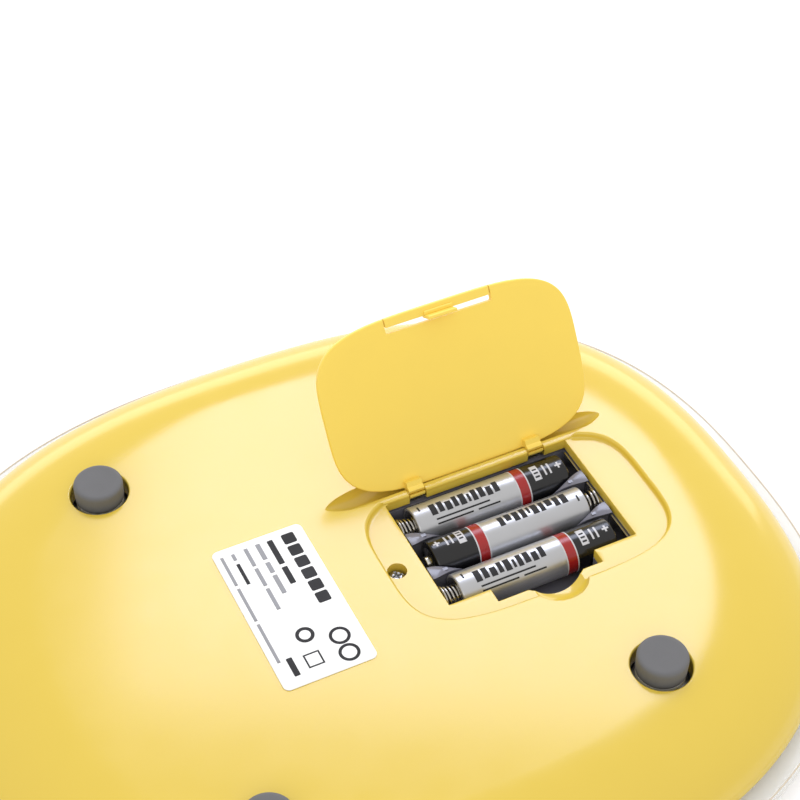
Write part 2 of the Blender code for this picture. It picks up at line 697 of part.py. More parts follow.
def make_door():
    """Modelled closed, then swung open about the hinge bars."""
    door = plate("battery_door", [superellipse(DOOR_OUTLINE, 48, (DOOR_X, DOOR_Y))],
                 (DOOR_INNER_Z, SHELL_TOP), YELLOW_SATIN)
    front = DOOR_Y - DOOR_OUTLINE[1]

    def latch_gap(bm):
        add_box(bm, (DOOR_X - LATCH_HALF - GAP, DOOR_X + LATCH_HALF + GAP),
                (front - 2, SLOT_EDGE_Y), (DOOR_INNER_Z - 2, SHELL_TOP + 2))

    def lugs(bm):
        """Snap clips: a ring open at its foot, on a block that hangs from the door's inner face."""
        mouth = 0.5
        outer_end = pi / 2 - asin(mouth / LUG_R)
        inner_end = pi / 2 - asin(mouth / LUG_HOLE_R)
        back = -LUG_R * cos(radians(32))
        outline = [*arc_points(LUG_R, -outer_end, radians(120), 12), (-1.2, 1.7), (-2.8, 1.7),
                   (-2.8, -0.9), (back, -0.9),
                   *arc_points(LUG_R, radians(213), pi + outer_end, 3),
                   *arc_points(LUG_HOLE_R, pi + inner_end, -inner_end, 14)]
        outline = [(HINGE_Y + y, HINGE_Z + z) for y, z in outline]
        for x in LUG_CENTRES:
            add_prism(bm, outline, (x - LUG_WIDTH / 2, x + LUG_WIDTH / 2))

    boolean(door, cutter("latch_gap", latch_gap))
    boolean(door, cutter("lugs", lugs), "UNION")

    latch = plate("door_latch", [superellipse(DOOR_OUTLINE, 48, (DOOR_X, DOOR_Y))],
                  (DOOR_INNER_Z, SHELL_TOP), YELLOW_SATIN)

    def strip(bm):
        add_box(bm, (DOOR_X - LATCH_HALF, DOOR_X + LATCH_HALF), (front - 2, STRIP_EDGE_Y),
                (DOOR_INNER_Z - 2, SHELL_TOP + 2))

    def tab(bm):
        add_box(bm, (DOOR_X - TAB_HALF, DOOR_X + TAB_HALF), (STRIP_EDGE_Y - 0.2, STRIP_EDGE_Y + 0.7),
                (14.2, DOOR_INNER_Z + 1.1))

    boolean(latch, cutter("latch_strip", strip), "INTERSECT")
    boolean(latch, cutter("latch_tab", tab), "UNION")

    turn = closed_to_open()
    closed_pieces = [door, latch, *(item for item in CUTTERS.objects
                                    if item.name in DOOR_CUTTERS)]
    for piece in closed_pieces:
        piece.matrix_world = turn @ piece.matrix_world



# ---------------------------------------------------------------- label, screw and wires
def make_label():
    low = RIM_Z + dome_height(0.0, SHELL_HEIGHT) + 0.05
    plate("label", [rounded_rectangle(-20.4, -0.5, 23.7, 45.8, 2.0)], (low, low + 0.15),
          LABEL_WHITE)


def make_recess_screw():
    screw = turned("recess_screw",
                   [(0.0, SCREW_TOP), (1.3, SCREW_TOP - 0.1), (2.1, SCREW_TOP - 0.9),
                    (2.1, SCREW_TOP - 2.0), (1.0, SCREW_TOP - 2.0), (1.0, 6.0),
                    (0.4, 5.3), (0.0, 5.3)], (SCREW_X, SCREW_Y), STEEL, steps=20)

    def cross(bm):
        add_box(bm, (SCREW_X - 1.3, SCREW_X + 1.3), (SCREW_Y - 0.3, SCREW_Y + 0.3),
                (SCREW_TOP - 0.8, SCREW_TOP + 0.7))

    def cross_bar(bm):
        add_box(bm, (SCREW_X - 0.3, SCREW_X + 0.3), (SCREW_Y - 1.3, SCREW_Y + 1.3),
                (SCREW_TOP - 0.8, SCREW_TOP + 0.7))
    boolean(screw, cutter("screw_cross", cross))
    boolean(screw, cutter("screw_cross_bar", cross_bar))


def make_wires():
    level = 13.0
    for number, (x, y) in enumerate(FOOT_CENTRES, start=1):
        end_x = BOARD_X[1] + GAP + 0.8
        side = 1 if y > 0 else -1
        end_y = side * (30.0 if x > 0 else 38.0)
        if x > 0:
            stops = [(x - 12.5, y - side * 2.0, level), (x - 26.0, y - side * 6.0, 12.0),
                     (0.0, side * 42.0, 11.0), (-30.0, side * 33.0, 11.0),
                     (end_x + 10, end_y, 11.0), (end_x, end_y, 11.3)]
        else:
            stops = [(x - 3.0, y - side * 13.5, level), (x - 4.0, y - side * 15.0, 12.4),
                     (end_x + 2.5, end_y + side * 0.6, 11.6), (end_x, end_y, 11.3)]
        tube(f"cell_lead_{number}", smooth_route(stops, 22 if x > 0 else 10), 0.8, GREY_WIRE, 1)
    for name, y, offset, finish in (("black", CELL_ROWS[0][0], 6.0, BLACK_WIRE),
                                    ("red", -23.0, -6.0, RED_WIRE)):
        edge = BOARD_X[1] + GAP + 0.6
        if name == "black":
            stops = [(11.3, y, 10.5), (4.0, y + 3.0, 10.0), (-20.0, 12.0, 10.0),
                     (-45.0, 8.0, 10.8), (edge, offset, 11.3)]
        else:
            stops = [(68.0, -9.7, 10.5), (72.0, -13.0, 10.2), (70.0, -24.0, 10.0),
                     (50.0, -29.0, 10.0), (20.0, -28.0, 10.0), (-15.0, -18.0, 10.0),
                     (-45.0, -9.0, 10.8), (edge, offset, 11.3)]
        tube(f"battery_lead_{name}", smooth_route(stops, 16 if name == "black" else 30), 0.6,
             finish, 1)


make_platform()
make_backing_sheet()
make_bottom_shell()
make_inner_frame()
make_display()
make_board()
make_buttons()
make_feet()
make_load_cells()
make_battery_tray()
make_cells()
make_contacts()
make_door()
make_label()
make_recess_screw()
make_wires()
bpy.context.view_layer.update()
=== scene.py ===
# %% [markdown]
# # A kitchen scale, lying face down with its battery door open
#
# The scale weighs on a clear acrylic plate.  Here it is turned over for a battery change, so
# that its glossy yellow base, four rubber feet and open battery bay face up.  A fixed model
# gives every size and every moving body.  This script makes the surfaces that the eye sees,
# each one worked out with numpy, and then the finishes, the lights and the camera.

import bmesh
import bpy
import numpy as np
from mathutils import Matrix, Vector


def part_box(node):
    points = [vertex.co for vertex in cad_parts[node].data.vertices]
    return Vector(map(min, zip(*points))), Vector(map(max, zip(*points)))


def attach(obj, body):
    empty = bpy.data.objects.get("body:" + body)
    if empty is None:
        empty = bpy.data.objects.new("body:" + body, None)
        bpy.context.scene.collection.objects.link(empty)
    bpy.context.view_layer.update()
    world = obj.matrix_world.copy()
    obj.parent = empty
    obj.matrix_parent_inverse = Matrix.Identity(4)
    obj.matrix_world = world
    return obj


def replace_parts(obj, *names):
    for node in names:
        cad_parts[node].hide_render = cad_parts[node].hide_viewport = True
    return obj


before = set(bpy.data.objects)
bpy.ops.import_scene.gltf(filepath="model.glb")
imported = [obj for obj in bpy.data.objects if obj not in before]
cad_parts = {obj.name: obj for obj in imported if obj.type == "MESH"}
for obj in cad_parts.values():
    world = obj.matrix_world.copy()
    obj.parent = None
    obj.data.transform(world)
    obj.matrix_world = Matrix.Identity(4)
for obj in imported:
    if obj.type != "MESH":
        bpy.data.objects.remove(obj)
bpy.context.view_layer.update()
MM = 0.001


def box_mm(node):
    """Lowest and highest corner of a node in millimetres."""
    low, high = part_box(node)
    return np.array(low) / MM, np.array(high) / MM


# %% [markdown]
# ## Colour
#
# Paint charts and screens give colours as sRGB hex values, but a shader mixes light, so it
# needs linear values.  One function turns the first into the second, and one more adds a
# node with its settings and links, so that a finish reads as a short recipe.

# %% Colour and node helpers
def linear(code):
    """sRGB hex to linear: c / 12.92 up to 0.04045, above it ((c + 0.055) / 1.055) to the 2.4."""
    srgb = np.array([int(code[i:i + 2], 16) for i in (1, 3, 5)]) / 255
    value = np.where(srgb <= 0.04045, srgb / 12.92, ((srgb + 0.055) / 1.055) ** 2.4)
    return (*value.tolist(), 1.0)


def add(material, kind, inputs=None, **settings):
    """Adds one node: settings are its properties, inputs its values or incoming sockets."""
    node = material.node_tree.nodes.new("ShaderNode" + kind)
    for name, value in settings.items():
        setattr(node, name, value)
    for name, value in (inputs or {}).items():
        socket = node.inputs[name]
        if isinstance(value, bpy.types.NodeSocket):
            material.node_tree.links.new(value, socket)
        else:
            socket.default_value = value
    return node


def finish(name, tone, rough, grain_mm=0.4, bump=0.02, mottle=0.03, **shader_inputs):
    """A surface with fine grain: its tone drifts by mottle, its roughness with it, and noise
    of grain_mm wavelength lifts the surface by bump millimetres."""
    material = bpy.data.materials.new(name)
    material.use_nodes = True
    shader = material.node_tree.nodes["Principled BSDF"]
    place = add(material, "TexCoord").outputs["Object"]
    drift = add(material, "TexNoise", {"Vector": place, "Scale": 1 / (9 * MM), "Detail": 3.0})
    light = linear(tone)
    dark = tuple(c * (1 - 2 * mottle) for c in light[:3]) + (1.0,)
    colour = add(material, "Mix", {"Factor": drift.outputs["Fac"], "A": dark, "B": light},
                 data_type="RGBA")
    spread = add(material, "MapRange", {"Value": drift.outputs["Fac"], "From Min": 0.25,
                                        "From Max": 0.75, "To Min": rough * 0.85,
                                        "To Max": rough * 1.15})
    grain = add(material, "TexNoise", {"Vector": place, "Scale": 1 / (grain_mm * MM),
                                       "Detail": 2.0})
    relief = add(material, "Bump", {"Height": grain.outputs["Fac"], "Distance": bump * MM,
                                    "Strength": 1.0})
    links = material.node_tree.links
    links.new(colour.outputs[2], shader.inputs["Base Color"])
    links.new(spread.outputs["Result"], shader.inputs["Roughness"])
    links.new(relief.outputs["Normal"], shader.inputs["Normal"])
    for socket, value in shader_inputs.items():
        shader.inputs[socket.replace("_", " ")].default_value = value
    material.diffuse_color = light
    return material


print("yellow in linear light:", [round(value, 3) for value in linear("#DDC04A")[:3]])


# %% [markdown]
# ## Finishes
#
# The base is injection-moulded ABS from a polished tool, which gives long clear reflections.
# The inside of its door comes from a plainer tool face and is satin.  The feet are moulded
# rubber, the springs drawn wire, the contact plates nickel-plated strip.

# %% The moulded and metal finishes
GLOSS_YELLOW = finish("yellow_abs_polished", "#DDC04A", 0.16, 0.9, 0.0015, 0.01, IOR=1.53)
SATIN_YELLOW = finish("yellow_abs_satin", "#F9D95B", 0.42, 0.35, 0.012, 0.015, IOR=1.53)
BLACK_GLOSS = finish("black_abs_gloss", "#17171A", 0.2, 0.6, 0.004, 0.08, IOR=1.53)
GREY_GLOSS = finish("grey_abs_gloss", "#777783", 0.18, 0.6, 0.003, 0.05, IOR=1.53)
WHITE_SATIN = finish("white_abs_satin", "#E6E6E2", 0.45, 0.4, 0.01, 0.02, IOR=1.53)
FOOT_RUBBER = finish("grey_rubber_moulded", "#69696A", 0.72, 0.3, 0.03, 0.06, IOR=1.5)
SPRING_STEEL = finish("spring_steel_drawn", "#B9B7B4", 0.24, 0.2, 0.004, 0.05, Metallic=1.0)
NICKEL = finish("nickel_plated_strip", "#CFCBC2", 0.22, 0.5, 0.004, 0.05, Metallic=1.0)
STAMPED_STEEL = finish("stamped_steel", "#A9A9AC", 0.34, 0.5, 0.006, 0.08, Metallic=1.0)
SCREW_STEEL = finish("zinc_plated_screw", "#B4B6BC", 0.28, 0.3, 0.004, 0.06, Metallic=1.0)
FOIL = finish("brushed_foil_sleeve", "#BEBFC2", 0.34, 0.25, 0.004, 0.05, Metallic=0.7)
CAN_STEEL = finish("nickel_plated_can", "#D8D6D0", 0.2, 0.3, 0.003, 0.04, Metallic=1.0)
SLEEVE_BLACK = finish("black_printed_sleeve", "#121214", 0.2, 0.5, 0.003, 0.1, IOR=1.5)
SLEEVE_RED = finish("red_metallic_ink", "#A3201F", 0.26, 0.4, 0.003, 0.08, IOR=1.5)
PRINT_PALE = finish("pale_grey_ink", "#C9C9CC", 0.3, 0.4, 0.002, 0.04, IOR=1.5)
PRINT_DARK = finish("charcoal_ink", "#2A2A2C", 0.6, 0.4, 0.002, 0.06, IOR=1.35)
LABEL_WHITE = finish("white_polyester_label", "#F4F4F0", 0.36, 0.5, 0.004, 0.012, IOR=1.5)
LABEL_GREY = finish("grey_label_ink", "#8E8E90", 0.4, 0.4, 0.002, 0.05, IOR=1.5)
BOARD_GREEN = finish("green_solder_resist", "#1E5A38", 0.35, 0.6, 0.01, 0.1, IOR=1.5)
DISPLAY_GLASS = finish("polarised_display_glass", "#8D988A", 0.1, 0.8, 0.001, 0.03, IOR=1.52)
PRINTED_FILM = finish("yellow_printed_film", "#F2CF3D", 0.3, 0.8, 0.002, 0.015, IOR=1.5)
RED_WIRE = finish("red_pvc", "#A81C1C", 0.4, 0.4, 0.01, 0.05, IOR=1.53)
BLACK_WIRE = finish("black_pvc", "#1A1A1C", 0.4, 0.4, 0.01, 0.08, IOR=1.53)
GREY_WIRE = finish("grey_pvc", "#77777A", 0.42, 0.4, 0.01, 0.05, IOR=1.53)
print("finishes:", len(bpy.data.materials))


# %% [markdown]
# Clear acrylic has a refractive index of 1.49 and is nearly colourless.  The plate is thin
# and stands on white, so a transmitting shader would only darken it with trapped light.  It
# is made a polished surface that lets seven tenths of what is behind it through.  Its edge
# gets a fine warm grey line: painted shade for the dark line of a polished clear edge.

# %% Clear acrylic
CLEAR_ACRYLIC = finish("clear_acrylic", "#FCFCF8", 0.04, 2.0, 0.0005, 0.002, IOR=1.49,
                       Alpha=0.3)
# The edge line is painted shade: a warm grey for the dark line of a polished clear edge.
ACRYLIC_EDGE_SHADE = finish("acrylic_painted_edge_shade", "#CDBFA6", 0.25, 1.0, 0.001, 0.02, IOR=1.49)
print("clear finishes:", CLEAR_ACRYLIC.name, "and", ACRYLIC_EDGE_SHADE.name)


# %% [markdown]


# %% [markdown]
# ## Surfaces from grids
#
# Nearly everything here is a grid of points: a closed outline repeated at different offsets
# and heights.  Rows that shrink to a point close the shape.  `grid_piece` turns such a grid
# into a mesh, merges the points that fall together, and puts the piece on its body.

# %% Grids to meshes
MERGE_DISTANCE = 0.002


def grid_faces(rows, columns, closed_rows):
    """Corner indices of the quads between neighbouring rows and columns; columns wrap round."""
    index = np.arange(rows * columns).reshape(rows, columns)
    upper = np.roll(index, -1, 0) if closed_rows else index[1:]
    lower = index if closed_rows else index[:-1]
    corners = [lower, np.roll(lower, -1, 1), np.roll(upper, -1, 1), upper]
    return np.stack(corners, -1).reshape(-1, 4)


def sharpen(piece, degrees):
    """Smooth shading, with a hard edge wherever two faces meet at more than an angle."""
    piece.data.shade_smooth()
    piece.data.set_sharp_from_angle(angle=np.radians(degrees))


def mesh_piece(name, points, faces, material, body="root", smooth=32.0):
    """A mesh from points in millimetres, merged, facing out, smooth below an angle in degrees."""
    mesh = bpy.data.meshes.new(name)
    faces = [[int(corner) for corner in face] for face in faces]
    mesh.from_pydata((np.asarray(points) * MM).tolist(), [], faces)
    work = bmesh.new()
    work.from_mesh(mesh)
    bmesh.ops.remove_doubles(work, verts=work.verts, dist=MERGE_DISTANCE * MM)
    bmesh.ops.recalc_face_normals(work, faces=work.faces)
    work.to_mesh(mesh)
    work.free()
    mesh.materials.append(material)
    piece = bpy.data.objects.new(name, mesh)
    sharpen(piece, smooth)
    bpy.context.scene.collection.objects.link(piece)
    if body is not None:
        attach(piece, body)
    return piece


def grid_piece(name, grid, material, body="root", closed_rows=False, smooth=32.0):
    """grid is (rows, columns, 3); its columns run round an outline."""
    rows, columns, _ = grid.shape
    return mesh_piece(name, grid.reshape(-1, 3), grid_faces(rows, columns, closed_rows),
                      material, body, smooth)


# %% [markdown]
# A superellipse is the outline between an ellipse and a rectangle: |x/a|^n + |y/b|^n = 1.
# The plate, the base, the recess and the door are all superellipses.  Moulded edges are
# never sharp, so `slab` carries a small quarter circle round the top and bottom edges.

# %% Outlines and slabs
def superellipse(half_x, half_y, power, count=256, centre=(0.0, 0.0)):
    """Points at angle t: (a |cos t|^(2/n), b |sin t|^(2/n)) with the signs of cos t and sin t."""
    t = np.linspace(0, 2 * np.pi, count, endpoint=False)
    c, s = np.cos(t), np.sin(t)
    x = half_x * np.sign(c) * np.abs(c) ** (2 / power)
    y = half_y * np.sign(s) * np.abs(s) ** (2 / power)
    return np.stack([x, y], -1) + np.array(centre)


def rounded_rectangle(low, high, radius, steps=6):
    """Four quarter circles, joined by straight sides."""
    t = np.linspace(0, np.pi / 2, steps + 1)
    corners = [((1, 1), 0), ((0, 1), 1), ((0, 0), 2), ((1, 0), 3)]
    parts = []
    for (side_x, side_y), quarter in corners:
        middle = np.array([high[0] - radius if side_x else low[0] + radius,
                           high[1] - radius if side_y else low[1] + radius])
        turn = t + quarter * np.pi / 2
        parts.append(middle + radius * np.stack([np.cos(turn), np.sin(turn)], -1))
    return np.concatenate(parts)


def outward(outline):
    """Unit normals of a counter-clockwise outline, from the chord between its neighbours."""
    chord = np.roll(outline, -1, 0) - np.roll(outline, 1, 0)
    normal = np.stack([chord[:, 1], -chord[:, 0]], -1)
    return normal / np.linalg.norm(normal, axis=1, keepdims=True)


def quarter(radius, steps):
    """Insets and drops of a quarter circle from a flat face to an upright side."""
    a = np.linspace(0, np.pi / 2, steps + 1)
    return radius * (1 - np.sin(a)), radius * (1 - np.cos(a))


def slab(outline, z_low, z_high, r_low, r_high, steps=4):
    """Rows of a plate: centre, rounded lower edge, rounded upper edge, centre."""
    normal = outward(outline)
    middle = outline.mean(0)
    rows = []

    def row(inset, z, scale=1.0):
        flat = middle + (outline - normal * inset - middle) * scale
        rows.append(np.column_stack([flat, np.full(len(flat), z)]))

    for scale in (0.0, 0.5, 0.9):
        row(r_low, z_low, scale)
    for inset, drop in zip(*quarter(r_low, steps)):
        row(inset, z_low + drop)
    for inset, drop in reversed(list(zip(*quarter(r_high, steps)))):
        row(inset, z_high - drop)
    for scale in (0.9, 0.5, 0.0):
        row(r_high, z_high, scale)
    return np.array(rows)


def capped(rows, start=None, end=None):
    """Adds a row at each end that shrinks to one point, by default the middle of the end row."""
    rows = np.array(rows)
    start = rows[0].mean(0) if start is None else start
    end = rows[-1].mean(0) if end is None else end
    tips = [np.broadcast_to(tip, rows[:1].shape) for tip in (start, end)]
    return np.concatenate([tips[0], rows, tips[1]])


def turned(profile, centre, steps=72, axis="z"):
    """A profile of (radius, height) turned about an upright axis, or about a line along x."""
    t = np.linspace(0, 2 * np.pi, steps, endpoint=False)
    radius, height = np.array(profile, float).T
    across = radius[:, None] * np.cos(t)
    along = radius[:, None] * np.sin(t)
    level = np.repeat(height[:, None], steps, 1)
    if axis == "x":
        return np.stack([centre[0] + level, centre[1] + across, centre[2] + along], -1)
    return np.stack([centre[0] + across, centre[1] + along, centre[2] + level], -1)


def soften(profile, radii, steps=4):
    """Rounds each corner of a polyline by a parabola of about its radius, 0 for a sharp one:
    the point at k is (1 - k)^2 start + 2 k (1 - k) corner + k^2 end."""
    profile = np.array(profile, float)
    made = [profile[0]]
    for before, corner, after, radius in zip(profile, profile[1:], profile[2:], radii):
        if radius == 0:
            made.append(corner)
            continue
        inward, onward = before - corner, after - corner
        reach_in, reach_on = np.linalg.norm(inward), np.linalg.norm(onward)
        inward, onward = inward / reach_in, onward / reach_on
        half = np.arccos(np.clip(inward @ onward, -1, 1)) / 2
        back = min(radius / np.tan(half), reach_in * 0.48, reach_on * 0.48)
        start, end = corner + inward * back, corner + onward * back
        for k in np.linspace(0, 1, steps + 1):
            made.append((1 - k) ** 2 * start + 2 * k * (1 - k) * corner + k ** 2 * end)
    made.append(profile[-1])
    return np.array(made)


# %% [markdown]
# ## Camera and studio
#
# The camera comes first, because every later choice is judged through it.  It looks down at
# 45 degrees from the front left with a long lens, as a product photographer would, so that
# outlines stay nearly parallel.

# %% The camera
VIEW_AZIMUTH, VIEW_ELEVATION, VIEW_ROLL = np.radians([-26.32, 44.98, 0.451])
VIEW_DISTANCE = 511.1
VIEW_TARGET = np.array([32.77, 50.30, 19.0])
FOCAL_LENGTH, SENSOR_WIDTH = 87.44, 36.0

back = np.array([np.sin(VIEW_AZIMUTH) * np.cos(VIEW_ELEVATION),
                 -np.cos(VIEW_AZIMUTH) * np.cos(VIEW_ELEVATION), np.sin(VIEW_ELEVATION)])
right = np.array([np.cos(VIEW_AZIMUTH), np.sin(VIEW_AZIMUTH), 0.0])
up = np.cross(back, right)
rolled_right = np.cos(VIEW_ROLL) * right + np.sin(VIEW_ROLL) * up
rolled_up = np.cross(back, rolled_right)
camera = bpy.data.objects.new("camera", bpy.data.cameras.new("camera"))
bpy.context.scene.collection.objects.link(camera)
camera.data.lens = FOCAL_LENGTH
camera.data.sensor_width = SENSOR_WIDTH
camera.data.clip_start, camera.data.clip_end = 0.02, 20.0
camera.matrix_world = Matrix.LocRotScale(
    Vector((VIEW_TARGET + back * VIEW_DISTANCE) * MM),
    Matrix(np.column_stack([rolled_right, rolled_up, back]).tolist()).to_quaternion(), None)
bpy.context.scene.camera = camera
print("camera at", [round(v, 4) for v in camera.location])

# %% [markdown]
# A glossy dome shows its lights as shapes.  A softbox stands behind the scale, where the
# flat middle of the base mirrors it to the camera, a long wall light behind it draws the
# bright band along the far rim, a weak fill stands in front, and the room is white.

# %% The lights and the floor
def softbox(name, azimuth, elevation, distance, size, radiance, tint):
    """A rectangular area light that faces the scale; its power is pi * radiance * area."""
    turn, lift = np.radians([azimuth, elevation])
    away = Vector((np.sin(turn) * np.cos(lift), np.cos(turn) * np.cos(lift), np.sin(lift)))
    light = bpy.data.objects.new(name, bpy.data.lights.new(name, "AREA"))
    light.data.shape = "RECTANGLE"
    light.data.size, light.data.size_y = size
    light.data.energy = np.pi * radiance * size[0] * size[1]
    light.data.color = linear(tint)[:3]
    light.location = away * distance
    light.rotation_mode = "QUATERNION"
    light.rotation_quaternion = away.to_track_quat("Z", "Y")
    bpy.context.scene.collection.objects.link(light)
    return light


softbox("back_softbox", 31.0, 46.5, 1.2, (0.62, 0.44), 6.6, "#DFE6FF")
softbox("back_wall", 25.0, 10.0, 2.5, (4.0, 0.7), 2.4, "#FFF6E6")
softbox("front_fill", 200.0, 34.0, 1.6, (1.0, 0.8), 1.0, "#FFFFFF")
world = bpy.data.worlds.new("white_room")
world.use_nodes = True
room = world.node_tree.nodes["Background"]
room.inputs["Color"].default_value = linear("#FFFDFA")
room.inputs["Strength"].default_value = 0.95
bpy.context.scene.world = world
bpy.context.scene.view_settings.view_transform = "Standard"

FLOOR_WHITE = finish("white_card", "#FDFDFD", 0.9, 5.0, 0.001, 0.002)
FLOOR_RADIUS, FLOOR_Z, FLOOR_CORNERS = 8000.0, -0.3, 96
floor_outline = superellipse(FLOOR_RADIUS, FLOOR_RADIUS, 2.0, FLOOR_CORNERS)
floor = mesh_piece("floor", np.column_stack([floor_outline, np.full(FLOOR_CORNERS, FLOOR_Z)]),
                   [range(FLOOR_CORNERS)], FLOOR_WHITE, None)
print("lights:", len(bpy.data.lights), "and a white room")


# %% [markdown]
# ## The base
#
# The base is one thin moulding.  Its dome is nearly flat in the middle and rounds over
# towards the rim as a quarter ellipse, with s the size of the superellipse that a point
# lies on, from 0 at the centre to 1 at the rim.  A grid of rings that starts at the rim and
# ends at the edge of the battery bay lets the recess have its own rounded wall, where a
# shape cut out of a finished dome would leave a hard edge.

# %% The dome as a formula
SHELL_LOW, SHELL_HIGH = box_mm("bottom_shell")
SHELL_A, SHELL_B = SHELL_HIGH[0], SHELL_HIGH[1]
RIM_Z, SHELL_TOP = SHELL_LOW[2], SHELL_HIGH[2]
SHELL_POWER = 2.6
SHELL_RISE = SHELL_TOP - RIM_Z
SHOULDER_START, SHOULDER_POWER, CROWN = 0.72, 2.2, 0.5
SHELL_WALL = 2.0


def ring_size(x, y, half_x=SHELL_A, half_y=SHELL_B):
    """s = (|x/a|^n + |y/b|^n)^(1/n)."""
    return ((np.abs(x) / half_x) ** SHELL_POWER
            + (np.abs(y) / half_y) ** SHELL_POWER) ** (1 / SHELL_POWER)


def dome_height(s, rise=SHELL_RISE):
    """Height over the rim: rise * sqrt(1 - u^2.2) - crown * s^2 * (1 - u), u = shoulder share."""
    u = np.clip((s - SHOULDER_START) / (1 - SHOULDER_START), 0, 1)
    return rise * np.sqrt(1 - u ** SHOULDER_POWER) - CROWN * s ** 2 * (1 - u)


def dome_z(x, y):
    """Height of the dome's surface over the table."""
    return RIM_Z + dome_height(ring_size(x, y))


def dome_normal(points):
    """Gradient of u^2.2 + (height / rise)^2 - 1, which is 0 on the dome."""
    x, y, z = points.T
    s = np.maximum(ring_size(x, y), 1e-6)
    u = np.clip((s - SHOULDER_START) / (1 - SHOULDER_START), 0, 1)
    height = z - RIM_Z
    pull = SHOULDER_POWER * u ** (SHOULDER_POWER - 1) / (1 - SHOULDER_START)
    pull = pull + 2 * height / SHELL_RISE ** 2 * CROWN * 2 * s * (1 - u)
    slope_x = s ** (1 - SHELL_POWER) * (np.abs(x) / SHELL_A) ** (SHELL_POWER - 1) / SHELL_A
    slope_y = s ** (1 - SHELL_POWER) * (np.abs(y) / SHELL_B) ** (SHELL_POWER - 1) / SHELL_B
    normal = np.stack([pull * slope_x * np.sign(x), pull * slope_y * np.sign(y),
                       2 * height / SHELL_RISE ** 2], -1)
    return normal / np.linalg.norm(normal, axis=1, keepdims=True)


print("dome rises from", RIM_Z.round(2), "to", SHELL_TOP.round(2), "mm")


# %% [markdown]
# Around the bay, every edge is found along rays from the middle of the recess: the bay's
# own corners, the recess and the rim.  Angles that hit a corner are added to the evenly
# spaced ones, so that no corner is cut off.

# %% Rays from the middle of the recess
TRAY_LOW, TRAY_HIGH = box_mm("battery_tray")
TRAY_WALL = 1.4
DOOR_CENTRE = np.array([40.7, -0.55])
RECESS_HALF = (36.3, 22.6)
RECESS_POWER = 4.0
RECESS_FLOOR = 17.2
PAD_BOTTOM = 14.4
BAY_X = (TRAY_LOW[0] + TRAY_WALL, TRAY_HIGH[0] - TRAY_WALL)
BAY_Y = (-15.5, TRAY_HIGH[1] - TRAY_WALL)
BAY_NOTCH_X = (25.0, 53.8)
BAY_NOTCH_Y = -19.6
ARC_RADIUS, ARC_Y = 12.0, -10.3


def bay_corners():
    """The opening's edge, counter-clockwise: a rectangle, a wide notch and a shallow arc."""
    drop = np.sqrt(ARC_RADIUS ** 2 - (BAY_NOTCH_Y - ARC_Y) ** 2)
    start = np.arctan2(BAY_NOTCH_Y - ARC_Y, -drop)
    end = np.arctan2(BAY_NOTCH_Y - ARC_Y, drop)
    turn = np.linspace(start, end, 15)
    arc = np.stack([DOOR_CENTRE[0] + ARC_RADIUS * np.cos(turn),
                    ARC_Y + ARC_RADIUS * np.sin(turn)], -1)
    (x0, x1), (y0, y1), (n0, n1) = BAY_X, BAY_Y, BAY_NOTCH_X
    return np.concatenate([[(x0, y1), (x0, y0), (n0, y0), (n0, BAY_NOTCH_Y)], arc,
                           [(n1, BAY_NOTCH_Y), (n1, y0), (x1, y0), (x1, y1)]])


def ray_angles(corners, count=384):
    """Evenly spaced angles, and the angles of the corners, in order."""
    even = np.linspace(-np.pi, np.pi, count, endpoint=False)
    at = np.arctan2(*(corners - DOOR_CENTRE).T[::-1])
    far = np.abs(even[:, None] - at[None]).min(1) > 0.006
    return np.sort(np.concatenate([even[far], at]))


def ray_to_polygon(angles, corners):
    """Distance along each ray to the polygon's side that it crosses, by two-line crossing."""
    start = corners - DOOR_CENTRE
    side = np.roll(start, -1, 0) - start
    ray = np.stack([np.cos(angles), np.sin(angles)], -1)
    cross = ray[:, None, 0] * side[None, :, 1] - ray[:, None, 1] * side[None, :, 0]
    safe = np.where(np.abs(cross) < 1e-9, 1e-9, cross)
    reach = (start[None, :, 0] * side[None, :, 1] - start[None, :, 1] * side[None, :, 0]) / safe
    share = (start[None, :, 0] * ray[:, None, 1] - start[None, :, 1] * ray[:, None, 0]) / safe
    hit = (reach > 0) & (share > -1e-6) & (share < 1 + 1e-6)
    return np.where(hit, reach, np.inf).min(1)


def ray_to_ring(angles, size, half_x=SHELL_A, half_y=SHELL_B):
    """Distance along each ray to the ring of a given size, by halving the interval."""
    ray = np.stack([np.cos(angles), np.sin(angles)], -1)
    low, high = np.zeros(len(angles)), np.full(len(angles), 200.0)
    for _ in range(40):
        middle = (low + high) / 2
        spot = DOOR_CENTRE + ray * middle[:, None]
        inside = ring_size(spot[:, 0], spot[:, 1], half_x, half_y) < size
        low, high = np.where(inside, middle, low), np.where(inside, high, middle)
    return (low + high) / 2


print("corners of the bay's edge:", len(bay_corners()))

# %% [markdown]
# The rings start at the rim and climb the dome.  They turn over the rounded edge of the
# recess, cross its floor to the bay, go under the floor, and come back inside the wall.

# %% The base's rings
RECESS_EDGE_R, RECESS_ROOT_R, BAY_EDGE_R = 0.8, 0.55, 0.2
RECESS_FLANGE = 3.0
INNER_SIZES = (0.82, 0.88, 0.93, 0.97, 0.99, 1.0)


